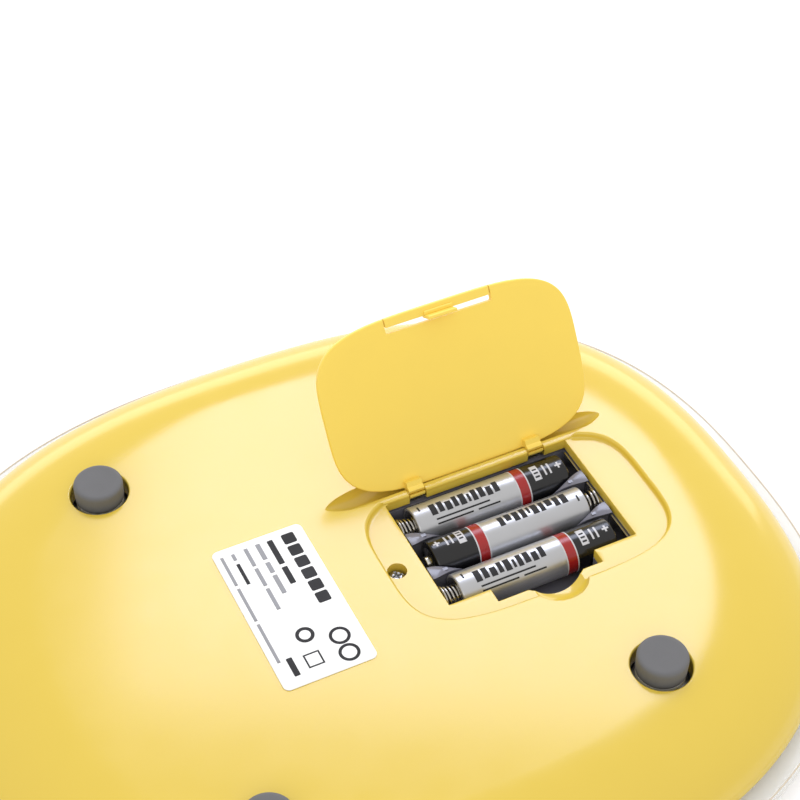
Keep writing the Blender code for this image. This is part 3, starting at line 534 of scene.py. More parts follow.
def shell_grid():
    """The rings as one grid; each row is a closed loop round the middle of the recess."""
    corners = bay_corners()
    angles = ray_angles(corners)
    ray = np.stack([np.cos(angles), np.sin(angles)], -1)
    bay = ray_to_polygon(angles, corners)
    c, s = np.abs(np.cos(angles)), np.abs(np.sin(angles))
    recess = ((c / RECESS_HALF[0]) ** RECESS_POWER
              + (s / RECESS_HALF[1]) ** RECESS_POWER) ** (-1 / RECESS_POWER)
    rows = []

    def row(reach, z=None):
        spot = DOOR_CENTRE + ray * reach[:, None]
        height = dome_z(*spot.T) if z is None else z + np.zeros(len(angles))
        rows.append(np.column_stack([spot, height]))
        return height

    swing = np.linspace(90, 12, 27)
    sizes = SHOULDER_START + (1 - SHOULDER_START) * np.sin(np.radians(swing))
    for size in sizes:
        row(ray_to_ring(angles, size))
    outer = np.linalg.norm(rows[-1][:, :2] - DOOR_CENTRE, axis=1)
    lip = recess + RECESS_EDGE_R
    for share in np.linspace(0, 1, 37)[1:]:
        top = row(outer + (lip - outer) * share)
    for inset, drop in list(zip(*quarter(RECESS_EDGE_R, 5)))[1:]:
        row(recess + inset, top - drop)
    for inset, drop in zip(*quarter(RECESS_ROOT_R, 4)):
        row(recess - drop, RECESS_FLOOR + inset)
    floor_edge = recess - RECESS_ROOT_R
    for share in (0.1, 0.4, 0.7, 1.0):
        row(floor_edge + (bay + BAY_EDGE_R - floor_edge) * share, RECESS_FLOOR)
    for inset, drop in list(zip(*quarter(BAY_EDGE_R, 3)))[1:]:
        row(bay + inset, RECESS_FLOOR - drop)
    row(bay, PAD_BOTTOM)
    row(recess + RECESS_FLANGE, PAD_BOTTOM)
    inner_a, inner_b = SHELL_A - SHELL_WALL, SHELL_B - SHELL_WALL
    for size in INNER_SIZES:
        row(ray_to_ring(angles, size, inner_a, inner_b),
            RIM_Z + dome_height(size, SHELL_RISE - SHELL_WALL))
    return np.array(rows)


shell_rings = shell_grid()
print("rings and points in each:", shell_rings.shape[:2])

# %% [markdown]
# The trough behind the door, the foot holes, the screw hole, the finger scoop and the two
# hinge notches are cut into the rings with fine cutters.  Each hole has a small bell mouth,
# as a mould insert leaves it, that follows the slope of the dome round its edge.

# %% Cutters
TROUGH_X, TROUGH_HALF, TROUGH_R = 38.5, 40.0, 3.8
TROUGH_Y, TROUGH_Z, TROUGH_TIP_RISE = 23.6, 18.1, 1.4
SCOOP_CENTRE, SCOOP_RADII = (DOOR_CENTRE[0], -21.5, 18.8), (7.3, 6.2, 3.4)
HINGE_Y, HINGE_Z = 22.0, 16.4
LUG_CENTRES = (23.2, 57.2)
NOTCH_HALF, NOTCH_Y, NOTCH_Z = 2.4, (19.8, 24.1), (12.0, 22.0)
FOOT_HOLE_R, FOOT_HOLE_LIP, FOOT_HOLE_LOW = 7.35, 0.5, 12.0
SCREW_HOLE_R, SCREW_HOLE_LIP, SCREW_SINK = 2.45, 0.35, 2.3


def bell_mouth(centre, radius, lip, z_low, steps=72):
    """A round hole whose top edge widens by lip in a quarter circle up to the dome."""
    t = np.linspace(0, 2 * np.pi, steps, endpoint=False)
    ray = np.stack([np.cos(t), np.sin(t)], -1)
    rim = dome_z(*(np.array(centre) + ray * (radius + lip)).T)
    inset, drop = quarter(lip, 5)
    reach = [0.0, radius, *(radius + inset[::-1]), radius + lip, 0.0]
    level = [z_low + 0 * rim, z_low + 0 * rim, *(rim - d for d in drop[::-1]),
             rim + 3.0, 0 * rim + rim.max() + 3.0]
    return np.array([np.column_stack([np.array(centre) + ray * r, z])
                     for r, z in zip(reach, level)])


def spindle(centre_x, half_length, stations=96, steps=56):
    """Circles along x for t from -1 to 1, bluntly tapered at both ends: the radius is that of
    the trough times 1 - |t|^8, and the centre rises by 1.4 |t|^8."""
    even = np.linspace(-1, 1, stations)
    t = even ** 3 * 0.35 + even * 0.65
    turn = np.linspace(0, 2 * np.pi, steps, endpoint=False)
    taper = np.abs(t) ** 8
    radius = TROUGH_R * (1 - taper)
    x = np.repeat((centre_x + half_length * t)[:, None], steps, 1)
    y = TROUGH_Y + radius[:, None] * np.cos(turn)
    z = (TROUGH_Z + TROUGH_TIP_RISE * taper)[:, None] + radius[:, None] * np.sin(turn)
    return np.stack([x, y, z], -1)


def ball(centre, radii, rings=30, steps=60):
    """An ellipsoid from circles of latitude."""
    lift = np.linspace(-np.pi / 2, np.pi / 2, rings)
    turn = np.linspace(0, 2 * np.pi, steps, endpoint=False)
    unit = np.stack([np.cos(lift)[:, None] * np.cos(turn), np.cos(lift)[:, None] * np.sin(turn),
                     np.repeat(np.sin(lift)[:, None], steps, 1)], -1)
    return np.array(centre) + unit * np.array(radii)


def block(x, y, z, radius=0.0):
    """A box with rounded upright edges."""
    outline = rounded_rectangle((x[0], y[0]), (x[1], y[1]), max(radius, 0.01))
    return slab(outline, z[0], z[1], 0.01, 0.01, 1)


def cut(piece, grids, operation="DIFFERENCE"):
    """Cuts each grid's solid from a piece, or joins it, then keeps the result as its mesh."""
    for grid in grids:
        tool = grid_piece("tool", grid, piece.data.materials[0], None)
        step = piece.modifiers.new("cut", "BOOLEAN")
        step.operation, step.solver, step.object = operation, "MANIFOLD", tool
        graph = bpy.context.evaluated_depsgraph_get()
        made = bpy.data.meshes.new_from_object(piece.evaluated_get(graph))
        piece.modifiers.clear()
        old, piece.data = piece.data, made
        made.name = piece.name
        bpy.data.meshes.remove(old)
        bpy.data.objects.remove(tool)


print("the trough is", 2 * TROUGH_HALF, "mm long, the scoop", 2 * SCOOP_RADII[0], "mm wide")

# %% [markdown]
# The feet and the screw say where their holes are.  All the cutters then work on the base
# in one go.

# %% The base, cut
FOOT_CENTRES = {}
for number in (1, 2, 3, 4):
    foot_low, foot_high = box_mm(f"rubber_foot_{number}")
    FOOT_CENTRES[number] = (foot_low + foot_high)[:2] / 2
SCREW_LOW, SCREW_HIGH = box_mm("recess_screw")
SCREW_CENTRE = (SCREW_LOW + SCREW_HIGH)[:2] / 2

shell = grid_piece("base_shell", shell_rings, GLOSS_YELLOW, closed_rows=True)
cut(shell, [spindle(TROUGH_X, TROUGH_HALF), ball(SCOOP_CENTRE, SCOOP_RADII),
            bell_mouth(SCREW_CENTRE, SCREW_HOLE_R, SCREW_HOLE_LIP, SCREW_HIGH[2] - SCREW_SINK, 40)]
    + [bell_mouth(centre, FOOT_HOLE_R, FOOT_HOLE_LIP, FOOT_HOLE_LOW)
       for centre in FOOT_CENTRES.values()]
    + [block((x - NOTCH_HALF, x + NOTCH_HALF), NOTCH_Y, NOTCH_Z, 0.3) for x in LUG_CENTRES])
print("base shell:", len(shell.data.polygons), "faces")


# %% [markdown]
# A polished dome must not show its facets.  Every corner that lies on the dome is given the
# formula's own gradient as its shading normal, and all others keep the normal of their face.

# %% Exact shading normals on the dome
ON_DOME, SAME_WAY = 0.004, np.cos(np.radians(38))


def polish_dome(piece):
    """Gives the dome's corners its gradient as their normals, and leaves all others."""
    sharpen(piece, 32)
    mesh = piece.data
    corner = np.empty(len(mesh.loops) * 3)
    mesh.corner_normals.foreach_get("vector", corner)
    corner = corner.reshape(-1, 3)
    place = np.empty(len(mesh.vertices) * 3)
    mesh.vertices.foreach_get("co", place)
    place = place.reshape(-1, 3) / MM
    vertex = np.empty(len(mesh.loops), int)
    mesh.loops.foreach_get("vertex_index", vertex)
    x, y, z = place.T
    s = ring_size(x, y)
    u = np.clip((s - SHOULDER_START) / (1 - SHOULDER_START), 0, 1)
    value = u ** SHOULDER_POWER + ((z - RIM_Z + CROWN * s ** 2 * (1 - u)) / SHELL_RISE) ** 2 - 1
    exact = dome_normal(place)
    near = (np.abs(value) < ON_DOME) & (s <= 1.001)
    facing = np.einsum("ij,ij->i", corner, exact[vertex]) > SAME_WAY
    use = near[vertex] & facing
    corner[use] = exact[vertex][use]
    mesh.normals_split_custom_set(corner.tolist())
    print("corners on the dome:", int(use.sum()), "of", len(use))


polish_dome(shell)
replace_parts(shell, "bottom_shell")


# %% [markdown]
# Under the dome, a collar guides each foot and a boss holds the screw.  The hinge's own
# material stands in the trough: a rounded rail, open at two notches, with a thin
# bar of plastic across each notch for the door's clips to turn on.

# %% Collars, the screw boss, the hinge rail and its bars
COLLAR_R, COLLAR_LOW, COLLAR_HIGH = 9.0, 13.4, 18.0
BOSS_R, BOSS_BORE_R, BOSS_LOW, BOSS_HIGH = 4.2, 2.47, 9.3, 17.0
RAIL_R, RAIL_X, RAIL_Y, RAIL_LOW = 0.85, (1.5, 75.5), 20.3, 14.7
BAR_R, BAR_HALF = 0.7, 3.2
for number, centre in FOOT_CENTRES.items():
    collar = turned(soften([(FOOT_HOLE_R, COLLAR_LOW), (COLLAR_R, COLLAR_LOW),
                            (COLLAR_R, COLLAR_HIGH), (FOOT_HOLE_R, COLLAR_HIGH),
                            (FOOT_HOLE_R, COLLAR_LOW)], (0.2, 0.0, 0.0)), (*centre, 0.0))
    grid_piece(f"foot_collar_{number}", collar, GLOSS_YELLOW, smooth=30)
boss_floor = SCREW_HIGH[2] - SCREW_SINK
boss = turned([(0.0, BOSS_LOW), (BOSS_R, BOSS_LOW), (BOSS_R, BOSS_HIGH),
               (BOSS_BORE_R, BOSS_HIGH), (BOSS_BORE_R, boss_floor), (0.0, boss_floor)],
              (*SCREW_CENTRE, 0.0), 48)
grid_piece("screw_boss", boss, GLOSS_YELLOW)


def along_x(outline, low, high, inset=0.12):
    """A (y, z) outline carried from low to high along x, its end edges eased by inset."""
    middle = outline.mean(0)
    normal = outward(outline)
    stations = [(low, 0.0, 0.0), (low, inset, 1.0), (low + inset, 0.0, 1.0),
                (high - inset, 0.0, 1.0), (high, inset, 1.0), (high, 0.0, 0.0)]
    rows = []
    for x, back_off, scale in stations:
        flat = middle + (outline - normal * back_off - middle) * scale
        rows.append(np.column_stack([np.full(len(flat), x), flat]))
    return np.array(rows)


arc = np.radians(np.linspace(-40, 90, 15))
rail_top = HINGE_Z + RAIL_R
rail_outline = np.concatenate([[(RAIL_Y, RAIL_LOW), (HINGE_Y + 0.4, RAIL_LOW)],
                               np.stack([HINGE_Y + RAIL_R * np.cos(arc),
                                         HINGE_Z + RAIL_R * np.sin(arc)], -1),
                               [(RAIL_Y + 0.3, rail_top), (RAIL_Y + 0.06, rail_top - 0.08),
                                (RAIL_Y, rail_top - 0.3)]])
gaps = [(x - NOTCH_HALF, x + NOTCH_HALF) for x in LUG_CENTRES]
starts = [RAIL_X[0], *(high for _, high in gaps)]
ends = [*(low for low, _ in gaps), RAIL_X[1]]
for number, (low, high) in enumerate(zip(starts, ends), start=1):
    grid_piece(f"hinge_rail_{number}", along_x(rail_outline, low, high), GLOSS_YELLOW)
rod = [(0.0, -BAR_HALF), (BAR_R, -BAR_HALF), (BAR_R, BAR_HALF), (0.0, BAR_HALF)]
for number, x in enumerate(LUG_CENTRES, start=1):
    grid_piece(f"hinge_bar_{number}", turned(rod, (x, HINGE_Y, HINGE_Z), 32, "x"),
               GLOSS_YELLOW)
print("rail spans:", [round(high - low, 1) for low, high in zip(starts, ends)])


# %% [markdown]
# ## The door
#
# The door is a 1.6 mm plate, modelled shut and then turned about the hinge bars to where it
# stands open.  Its front edge is slit to leave a springy strip that carries the latch tab,
# and two clips near its rear edge grip the bars.

# %% Turning a closed piece open
DOOR_OUTLINE = (35.9, 22.1, 4.0)
DOOR_INNER_Z, DOOR_OUTER_Z = 17.4, 19.0
OPENING_ANGLE = 122.0
LATCH_GAP_HALF, LATCH_HALF, TAB_HALF = 14.9, 14.6, 4.0
SLOT_EDGE_Y, STRIP_EDGE_Y = -18.6, -20.2
door_front = DOOR_CENTRE[1] - DOOR_OUTLINE[1]


def turn_open(piece):
    """Turns a piece's points about the hinge axis by the opening angle."""
    pivot = Matrix.Translation((0.0, HINGE_Y * MM, HINGE_Z * MM))
    turn = pivot @ Matrix.Rotation(np.radians(-OPENING_ANGLE), 4, "X") @ pivot.inverted()
    piece.data.transform(turn)
    piece.data.update()


def latch_zone(half, edge_y, radius):
    """A block over the door's front edge, from half to half across and back to edge_y."""
    return block((DOOR_CENTRE[0] - half, DOOR_CENTRE[0] + half), (door_front - 2, edge_y),
                 (DOOR_INNER_Z - 2, DOOR_OUTER_Z + 2), radius)


def latch_block(y, z, r_low):
    """A rounded block as wide as the tab, between two y and two z."""
    outline = rounded_rectangle((DOOR_CENTRE[0] - TAB_HALF, y[0]),
                                (DOOR_CENTRE[0] + TAB_HALF, y[1]), 0.3)
    return slab(outline, *z, r_low, 0.05)


print("door front edge at y", round(door_front, 2), "mm")

# %% [markdown]
# The door and the strip come from one slab: the door loses the latch zone, and the strip
# keeps only that.  The tab that springs under the base and its pad are small blocks.

# %% The door and its latch
door_edge = superellipse(*DOOR_OUTLINE, 256, DOOR_CENTRE)
door_slab = slab(door_edge, DOOR_INNER_Z, DOOR_OUTER_Z, 0.4, 0.5, 5)
door = grid_piece("door_plate", door_slab, SATIN_YELLOW, "door")
cut(door, [latch_zone(LATCH_GAP_HALF, SLOT_EDGE_Y, 0.5)])
sharpen(door, 40)
turn_open(door)
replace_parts(door, "battery_door")

strip = grid_piece("latch_strip", door_slab, SATIN_YELLOW, "latch")
cut(strip, [latch_zone(LATCH_HALF, STRIP_EDGE_Y, 0.3)], "INTERSECT")
sharpen(strip, 40)
turn_open(strip)
tab = grid_piece("latch_tab", latch_block((STRIP_EDGE_Y - 0.2, STRIP_EDGE_Y + 0.7),
                                          (14.2, DOOR_INNER_Z + 1.1), 0.25),
                 SATIN_YELLOW, "latch")
turn_open(tab)
pad = grid_piece("latch_pad", latch_block((-21.4, -20.3), (16.7, DOOR_INNER_Z + 0.2), 0.3),
                 SATIN_YELLOW, "latch")
turn_open(pad)
for part in (pad, strip, tab):
    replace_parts(part, "door_latch")
print("door:", len(door.data.polygons), "faces, turned open by", OPENING_ANGLE, "degrees")

# %% [markdown]
# Each clip is a ring with a mouth, on a short block.  The mouth is narrower than the bar, so
# that the clip snaps on and stays on.

# %% The hinge clips
LUG_R, LUG_HOLE_R, LUG_HALF, MOUTH = 1.7, 0.85, 2.1, 0.5


def clip_outline():
    """Outer arc, the block's corners, then the inner arc back to the mouth, as (y, z)."""
    outer_end = np.pi / 2 - np.arcsin(MOUTH / LUG_R)
    inner_end = np.pi / 2 - np.arcsin(MOUTH / LUG_HOLE_R)

    def arc_at(radius, start, end, steps):
        t = np.linspace(start, end, steps)
        return np.stack([radius * np.cos(t), radius * np.sin(t)], -1)

    foot = -LUG_R * np.cos(np.radians(32))
    outline = np.concatenate([arc_at(LUG_R, -outer_end, np.radians(120), 24),
                              [(-1.2, 1.7), (-2.8, 1.7), (-2.8, -0.9), (foot, -0.9)],
                              arc_at(LUG_R, np.radians(213), np.pi + outer_end, 6),
                              arc_at(LUG_HOLE_R, np.pi + inner_end, -inner_end, 22)])
    return outline + (HINGE_Y, HINGE_Z)


for number, x in enumerate(LUG_CENTRES, start=1):
    ring = clip_outline()
    count = len(ring)
    points = np.concatenate([np.column_stack([np.full(count, side), ring])
                             for side in (x - LUG_HALF, x + LUG_HALF)])
    index = np.arange(count)
    sides = np.stack([index, np.roll(index, -1), np.roll(index, -1) + count, index + count], -1)
    clip = mesh_piece(f"hinge_clip_{number}", points,
                      [*sides, range(count)[::-1], range(count, 2 * count)],
                      SATIN_YELLOW, "door", 25)
    turn_open(clip)
print("clips on bars", LUG_CENTRES[1] - LUG_CENTRES[0], "mm apart")

# %% [markdown]
# ## The clear plate
#
# The plate is one piece of acrylic, 4 mm thick, with a polished round edge.  It stands out
# past the base all round, where it shows as a clear rim.  Its upper edge gets a fine warm
# grey line of painted shade, for the dark line that a polished clear edge shows: a closed
# loop of five points, carried round the outline.

# %% The weighing plate
PLATE_LOW, PLATE_HIGH = box_mm("platform")
PLATE_POWER, PLATE_EDGE_R = 2.55, 0.8
plate_edge = superellipse(PLATE_HIGH[0], PLATE_HIGH[1], PLATE_POWER, 320)
plate_slab = slab(plate_edge, PLATE_LOW[2], PLATE_HIGH[2], PLATE_EDGE_R, PLATE_EDGE_R, 5)
plate = grid_piece("weighing_plate", plate_slab, CLEAR_ACRYLIC, smooth=50)
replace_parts(plate, "platform")

# The edge line below is painted shade: a warm grey loop laid along the plate's upper edge.
line_loop = [(0.5, 3.68), (0.5, 3.93), (0.36, 4.0), (0.18, 3.96), (0.18, 3.68)]
rim = outward(plate_edge)
edge_shade_rows = np.array([np.column_stack([plate_edge - rim * inset, np.full(len(rim), z)])
                      for inset, z in line_loop])
piece = grid_piece("plate_painted_edge_shade", edge_shade_rows, ACRYLIC_EDGE_SHADE, closed_rows=True, smooth=60)
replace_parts(piece, "platform")
print("plate:", 2 * PLATE_HIGH[0].round(1), "x", 2 * PLATE_HIGH[1].round(1), "mm")


# %% [markdown]
# ## The feet
#
# Each foot is a moulded rubber button with a rounded rim, which stands on a load cell and
# moves by half a millimetre at full load.  The collar round it keeps a millimetre of air.

# %% The rubber feet
for number, centre in FOOT_CENTRES.items():
    low, high = box_mm(f"rubber_foot_{number}")
    radius = (high[0] - low[0]) / 2
    profile = soften([(0.0, low[2]), (radius - 0.1, low[2]), (radius, high[2]), (0.0, high[2])],
                     (0.4, 1.15), 8)
    crown = [(r, z - 0.1 * (r / radius) ** 2) for r, z in [(radius * 0.7, high[2]),
                                                           (radius * 0.35, high[2])]]
    profile = np.array([*profile[:-1], *crown, (0.0, high[2])])
    foot = grid_piece(f"foot_{number}", turned(profile, (*centre, 0.0), 96), FOOT_RUBBER,
                      f"foot_{number}", smooth=60)
    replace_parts(foot, f"rubber_foot_{number}")
print("feet:", len(FOOT_CENTRES), "of radius", radius.round(2), "mm")

# %% [markdown]
# ## The cells
#
# An AAA cell is a steel can in a printed shrink sleeve.  The sleeve folds over both ends and
# leaves the nub and the base bare.  The print here is plain: a foil body, a red ring, a dark
# end, and blocks and bars where a sleeve would carry its words.

# %% The cells' turned parts
CELL_R, CELL_HALF, CELL_Z = 5.25, 22.25, 11.9
CELL_ROWS = {1: (14.3, 40.9, 1), 2: (2.3, 38.5, -1), 3: (-9.7, 40.9, 1)}


def cell_part(name, number, profile, material):
    """A turned part of a cell from (radius, distance towards the nub) points."""
    y, x, nub = CELL_ROWS[number]
    profile = np.array(profile, float) * (1, nub)
    grid = turned(profile[::nub], (x, y, CELL_Z), 80, "x")
    part = grid_piece(f"cell_{number}_{name}", grid, material, smooth=45)
    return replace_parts(part, f"battery_cell_{number}")


def wrapped(name, number, outline, lift, material):
    """A flat outline of (along, round) wrapped on a cell, as thin as ink and as close."""
    y, x, nub = CELL_ROWS[number]
    steps = [np.linspace(start, end, 1 + max(1, int(np.ceil(np.linalg.norm(end - start) / 0.35))))
             for start, end in zip(outline, np.roll(outline, -1, 0))]
    edge = np.concatenate([part[:-1] for part in steps])
    middle = edge.mean(0)
    rows = []
    for height, scale in ((-0.06, 0.0), (-0.06, 0.5), (-0.06, 1.0), (lift, 1.0), (lift, 0.75),
                          (lift, 0.5), (lift, 0.25), (lift, 0.0)):
        along, round_ = ((edge - middle) * scale + middle).T
        angle = round_ / CELL_R
        reach = CELL_R + height
        rows.append(np.column_stack([x + nub * along, y + nub * reach * np.sin(angle),
                                     CELL_Z + reach * np.cos(angle)]))
    piece = grid_piece(f"cell_{number}_{name}", np.array(rows), material, smooth=50)
    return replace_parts(piece, f"battery_cell_{number}")


def bar(low, high):
    """A rectangle of (along, round) corners."""
    return np.array([(low[0], low[1]), (high[0], low[1]), (high[0], high[1]), (low[0], high[1])],
                    float)


def band(low, high, lift):
    """A sleeve's band between two distances, lifted off the cell's radius."""
    return [(SLEEVE_IN, low), (CELL_R + lift, low), (CELL_R + lift, high), (SLEEVE_IN, high),
            (SLEEVE_IN, low)]


SLEEVE_IN, RED_START, BLACK_START, SLEEVE_END = 4.95, 6.6, 9.2, 20.6
for number in CELL_ROWS:
    cell_part("can", number,
              soften([(0.0, -CELL_HALF), (4.6, -CELL_HALF), (4.9, -CELL_HALF + 0.6),
                      (4.9, SLEEVE_END + 0.1), (2.1, SLEEVE_END + 0.45), (1.9, SLEEVE_END + 0.6),
                      (1.9, CELL_HALF), (0.0, CELL_HALF)], (0.3, 0, 0.4, 0, 0, 0.4)), CAN_STEEL)
    cell_part("foil", number,
              soften([(4.3, -CELL_HALF + 0.05), (CELL_R, -CELL_HALF + 0.05),
                      (CELL_R, RED_START), (SLEEVE_IN, RED_START), (SLEEVE_IN, -CELL_HALF + 0.6),
                      (4.3, -CELL_HALF + 0.05)], (0.6, 0, 0, 0), 6), FOIL)
    cell_part("red_ring", number, band(RED_START - 0.2, BLACK_START, 0.012), SLEEVE_RED)
    for name, at in (("pale_ring_1", RED_START - 0.35), ("pale_ring_2", BLACK_START)):
        cell_part(name, number, band(at - 0.05, at + 0.3, 0.016), PRINT_PALE)
    cell_part("dark_end", number,
              soften([(SLEEVE_IN, BLACK_START), (CELL_R + 0.008, BLACK_START),
                      (CELL_R + 0.008, SLEEVE_END + 0.1), (3.9, SLEEVE_END + 0.3),
                      (3.9, SLEEVE_END + 0.1), (SLEEVE_IN, SLEEVE_END - 0.2),
                      (SLEEVE_IN, BLACK_START)],
                     (0, 0.7, 0, 0, 0), 6), SLEEVE_BLACK)
print("cells:", len(CELL_ROWS), "of", 2 * CELL_HALF, "mm")

# %% [markdown]
# The plain print: upright blocks in a row as a heavy word would sit, two fine lines under
# them, a pale field and a plus sign by the nub and a minus sign by the base.

# %% The cells' print
WORD_LOW, WORD_HIGH = -2.3, 1.1
WORD_EDGES = [-17.6, -15.4, -13.4, -11.2, -9.4, -7.2, -5.9, -4.0, -1.9, 0.2, 2.2]
SMALL_LINES = [(-17.0, -2.0, -3.5), (-17.0, -7.0, -4.7), (-5.6, 0.6, -4.7)]
for number in CELL_ROWS:
    for place, (start, end) in enumerate(zip(WORD_EDGES[:-1], WORD_EDGES[1:]), start=1):
        top = WORD_HIGH - (0.8 if place % 3 == 0 else 0.0)
        low = WORD_LOW + (0.0 if place % 2 else 0.2)
        wrapped(f"block_{place}", number, bar((start, low), (end - 0.55, top)), 0.012, PRINT_DARK)
    for place, (start, end, low) in enumerate(SMALL_LINES, start=1):
        wrapped(f"line_{place}", number, bar((start, low - 0.22), (end, low + 0.22)), 0.012,
                PRINT_DARK)
    wrapped("pale_field", number, bar((11.4, -3.0), (13.4, 1.6)), 0.016, PRINT_PALE)
    for place, low in enumerate((-2.3, -1.2, -0.1), start=1):
        wrapped(f"field_line_{place}", number, bar((11.8, low), (13.0, low + 0.5)), 0.024,
                PRINT_DARK)
    for place, start in enumerate((14.6, 16.0), start=1):
        wrapped(f"size_bar_{place}", number, bar((start, -2.4), (start + 0.5, 0.8)), 0.016,
                PRINT_PALE)
    wrapped("plus_1", number, bar((17.9, -1.05), (19.7, -0.55)), 0.016, PRINT_PALE)
    wrapped("plus_2", number, bar((18.55, -1.7), (19.05, 0.1)), 0.018, PRINT_PALE)
    wrapped("minus", number, bar((-20.4, 0.1), (-19.9, 1.9)), 0.012, PRINT_DARK)
print("print on each cell:", len(WORD_EDGES) - 1, "blocks and", len(SMALL_LINES), "lines")

# %% [markdown]
# ## Contacts and the bay
#
# Every cell presses a conical spring at its base.  A spring ends in a closed turn, and its
# wire has tapered ends.

# %% The springs
WIRE_R, SPRING_TURNS = 0.34, 3.8
BAY_LEFT, BAY_RIGHT = 14.5, 64.9


def spring(number, steps=150, sides=14):
    """Centre line: radius 3.4 - 1.1 t at angle 2 pi n t, along x from the plate to the cell."""
    y, x, nub = CELL_ROWS[number]
    start = (BAY_LEFT if nub > 0 else BAY_RIGHT) + nub * (WIRE_R + 0.25)
    end = x - nub * (CELL_HALF + WIRE_R + 0.05)
    t = np.linspace(0, 1, steps)
    angle = 2 * np.pi * SPRING_TURNS * t
    radius = 3.4 - 1.1 * t
    along = start + (end - start) * np.clip((t - 0.12) / 0.76, 0, 1)
    line = np.stack([along, y + radius * np.cos(angle), CELL_Z + radius * np.sin(angle)], -1)
    ahead = np.gradient(line, axis=0)
    ahead /= np.linalg.norm(ahead, axis=1, keepdims=True)
    out = np.stack([0 * t, np.cos(angle), np.sin(angle)], -1)
    out -= ahead * np.einsum("ij,ij->i", out, ahead)[:, None]
    out /= np.linalg.norm(out, axis=1, keepdims=True)
    side = np.cross(ahead, out)
    turn = np.linspace(0, 2 * np.pi, sides, endpoint=False)
    ring = out[:, None] * np.cos(turn)[:, None] + side[:, None] * np.sin(turn)[:, None]
    rows = line[:, None] + WIRE_R * ring
    return capped(rows, line[0] - ahead[0] * WIRE_R * 0.6, line[-1] + ahead[-1] * WIRE_R * 0.6)


for number in CELL_ROWS:
    coil = grid_piece(f"spring_{number}", spring(number), SPRING_STEEL, smooth=50)
    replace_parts(coil, f"contact_spring_{number}")
print("springs of", SPRING_TURNS, "turns")

# %% [markdown]
# Between two cells, each end of the bay has a glossy saddle that is wide at the wall and
# runs out to an edge, with hollow sides that follow the cells.

# %% The saddles between the cells
def saddle(y, wall, direction, reach=9.0, stations=22):
    """Cross-section at height h over the cells' axis: half width 6 - sqrt(5.55^2 - h^2), cut
    down by 1 - t^1.6 as t runs from the wall to the edge, the top falling by 3 t^2."""
    rows = []
    for t in np.linspace(0, 1, stations):
        top = 15.7 - 3.0 * t ** 2
        level = np.linspace(6.0, top, 12)
        h = np.clip(level - CELL_Z, 0, 5.2)
        half = (6.0 - np.sqrt(5.55 ** 2 - h ** 2)) * (1 - t ** 1.6) + 0.05
        cap = np.linspace(1, -1, 7)[1:-1]
        loop = [*zip(y + half, level), *zip(y + half[-1] * cap, top + 0.18 * (1 - cap ** 2)),
                *zip(y - half[::-1], level[::-1])]
        x = wall + direction * reach * t
        rows.append([(x, *point) for point in loop])
    return capped(rows)


for name, y in (("upper", 8.3), ("lower", -3.7)):
    for side, wall, direction in (("left", BAY_LEFT + 0.1, 1), ("right", BAY_RIGHT - 0.1, -1)):
        grid_piece(f"saddle_{side}_{name}", saddle(y, wall, direction), GREY_GLOSS, smooth=55)
print("saddles from", BAY_LEFT, "to", BAY_RIGHT, "mm")

# %% [markdown]
# ## The screw
#
# A cross-head screw sits deep in its boss.  Its head is a low dome, and two crossed blocks
# cut the driver's slots.

# %% The screw
HEAD_R, SLOT_HALF, SLOT_REACH, SHANK_R = 2.1, 0.28, 1.35, 1.2
screw_x, screw_y = SCREW_CENTRE
head_top = SCREW_HIGH[2]
head = soften([(0.0, head_top - 1.6), (HEAD_R, head_top - 1.6), (HEAD_R, head_top - 0.6),
               (1.2, head_top - 0.1), (0.0, head_top)], (0.1, 0.35, 0.8))
screw = grid_piece("screw_head", turned(head, (*SCREW_CENTRE, 0.0), 56), SCREW_STEEL, smooth=40)
cut(screw, [block((screw_x - half_x, screw_x + half_x), (screw_y - half_y, screw_y + half_y),
                  (head_top - 0.9, head_top + 1.0))
            for half_x, half_y in ((SLOT_REACH, SLOT_HALF), (SLOT_HALF, SLOT_REACH))])
shank = turned([(0.0, SCREW_LOW[2]), (SHANK_R, SCREW_LOW[2]), (SHANK_R, head_top - 1.55),
                (0.0, head_top - 1.55)], (*SCREW_CENTRE, 0.0), 40)
shank = grid_piece("screw_shank", shank, SCREW_STEEL)
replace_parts(screw, "recess_screw")
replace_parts(shank, "recess_screw")
print("screw:", round(head_top - SCREW_LOW[2], 1), "mm long")

# %% [markdown]
# ## The label
#
# A white polyester label with rounded corners lies on the flat of the dome.  Blocks and bars
# stand for its print: a heavy word, a few lines of text, three rings and a square.

# %% The label and its print
LABEL_LOW, LABEL_HIGH = box_mm("label")
label = grid_piece("label_sheet",
                   slab(rounded_rectangle(LABEL_LOW[:2], LABEL_HIGH[:2], 1.6, 8),
                        LABEL_LOW[2] - 0.06, LABEL_HIGH[2], 0.02, 0.03, 2),
                   LABEL_WHITE, smooth=50)
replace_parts(label, "label")


def print_bar(name, across, down, material):
    """A bar of print; across is measured from the label's +x edge, down from its +y edge."""
    low = (LABEL_HIGH[0] - across[1], LABEL_HIGH[1] - down[1])
    high = (LABEL_HIGH[0] - across[0], LABEL_HIGH[1] - down[0])
    radius = min(high[0] - low[0], high[1] - low[1]) * 0.15
    ink = slab(rounded_rectangle(low, high, radius, 3), LABEL_HIGH[2] - 0.02,
               LABEL_HIGH[2] + 0.02, 0.005, 0.005, 1)
    piece = grid_piece(name, ink, material, smooth=50)
    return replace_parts(piece, "label")


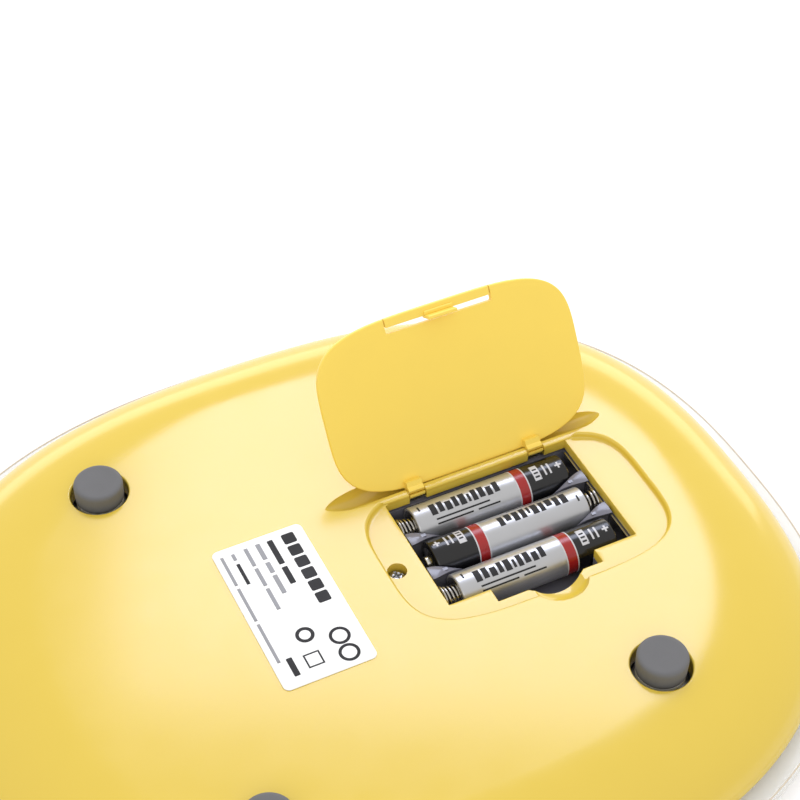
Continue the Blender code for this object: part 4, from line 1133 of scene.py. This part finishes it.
heavy_edges = np.linspace(1.9, 26.2, 7)
HEAVY_GAP = 0.7
for number, (start, end) in enumerate(zip(heavy_edges[:-1], heavy_edges[1:]), start=1):
    print_bar(f"label_heavy_{number}", (2.7, 6.0), (start, end - HEAVY_GAP), PRINT_DARK)
LINE_ROWS = [((8.3, 9.8), [(2.2, 10.4), (11.4, 17.1)]),
             ((11.6, 12.8), [(2.0, 7.4), (8.4, 12.0), (12.8, 19.0)]),
             ((14.9, 15.9), [(2.1, 8.2), (9.0, 15.0), (15.9, 23.0)]),
             ((18.4, 19.3), [(2.4, 4.6), (5.8, 12.8)]),
             ((21.3, 22.1), [(2.3, 12.0), (13.0, 24.0), (25.0, 37.6)]),
             ((18.5, 20.0), [(37.2, 42.8)])]
DARK_LINES = (1, 2, 10, 14)
lines = [(across, down) for across, row in LINE_ROWS for down in row]
for number, (across, down) in enumerate(lines, start=1):
    print_bar(f"label_line_{number}", across, down,
              PRINT_DARK if number in DARK_LINES else LABEL_GREY)


def print_ring(name, across, down, radius, width, square=False):
    """A printed ring from an outer and an inner circle, or a square from four points of each,
    whose ends meet to within a quarter of a degree on both sides."""
    seam = np.radians(0.25)
    centre = np.array([LABEL_HIGH[0] - across, LABEL_HIGH[1] - down])
    start = np.pi / 4 if square else -np.pi / 2
    t = np.linspace(seam, 2 * np.pi - seam, 5 if square else 40) + start
    ray = np.stack([np.cos(t), np.sin(t)], -1)
    outer, inner = centre + radius * ray, centre + (radius - width) * ray
    level = [LABEL_HIGH[2] + z for z in (0.02, 0.02, -0.02, -0.02)]
    grid = np.array([np.column_stack([flat, np.full(len(flat), z)])
                     for flat, z in zip([outer, inner, inner, outer], level)]).transpose(1, 0, 2)
    piece = grid_piece(name, capped(grid), PRINT_DARK, smooth=50)
    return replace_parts(piece, "label")


print_ring("label_ring_1", 5.7, 36.3, 2.6, 0.8)
print_ring("label_ring_2", 5.7, 41.7, 2.6, 0.8)
print_ring("label_frame_1", 13.0, 32.6, 2.3, 0.9)
print_ring("label_frame_2", 14.0, 40.0, 2.9, 0.6, square=True)
print("label print:", len(heavy_edges) - 1, "blocks and", len(lines), "bars")

# %% [markdown]
# ## Everything else
#
# The rest of the fixed model keeps its shape and takes a real finish: the printed film under
# the plate, the white frame inside, the load cells and their holders, the circuit board, the
# display and the wires.

# %% Finishes of the fixed model's own pieces
FINISH_NODES = [(PRINTED_FILM, "backing_sheet"), (GREY_GLOSS, "battery_tray"),
                (NICKEL, "negative_plate positive_plate left_bridge_plate right_bridge_plate"),
                (WHITE_SATIN, "inner_frame foot_cup load_cell_holder lcd_frame"),
                (STAMPED_STEEL, "load_cell"), (SCREW_STEEL, "holder_screw board_screw"),
                (BOARD_GREEN, "main_board"), (BLACK_GLOSS, "chip_cover tare_switch unit_switch"),
                (DISPLAY_GLASS, "lcd_panel"), (FOOT_RUBBER, "zebra_strip"),
                (SATIN_YELLOW, "tare_button unit_button"), (GREY_WIRE, "cell_lead"),
                (RED_WIRE, "battery_lead_red"), (BLACK_WIRE, "battery_lead_black")]
NODE_FINISH = {key: look for look, keys in FINISH_NODES for key in keys.split()}
painted = 0
for name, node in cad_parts.items():
    matches = [key for key in NODE_FINISH if name.startswith(key)]
    if node.hide_render or not matches:
        continue
    for place in node.material_slots:
        place.material = NODE_FINISH[max(matches, key=len)]
    painted += 1
print("fixed pieces given a finish:", painted)
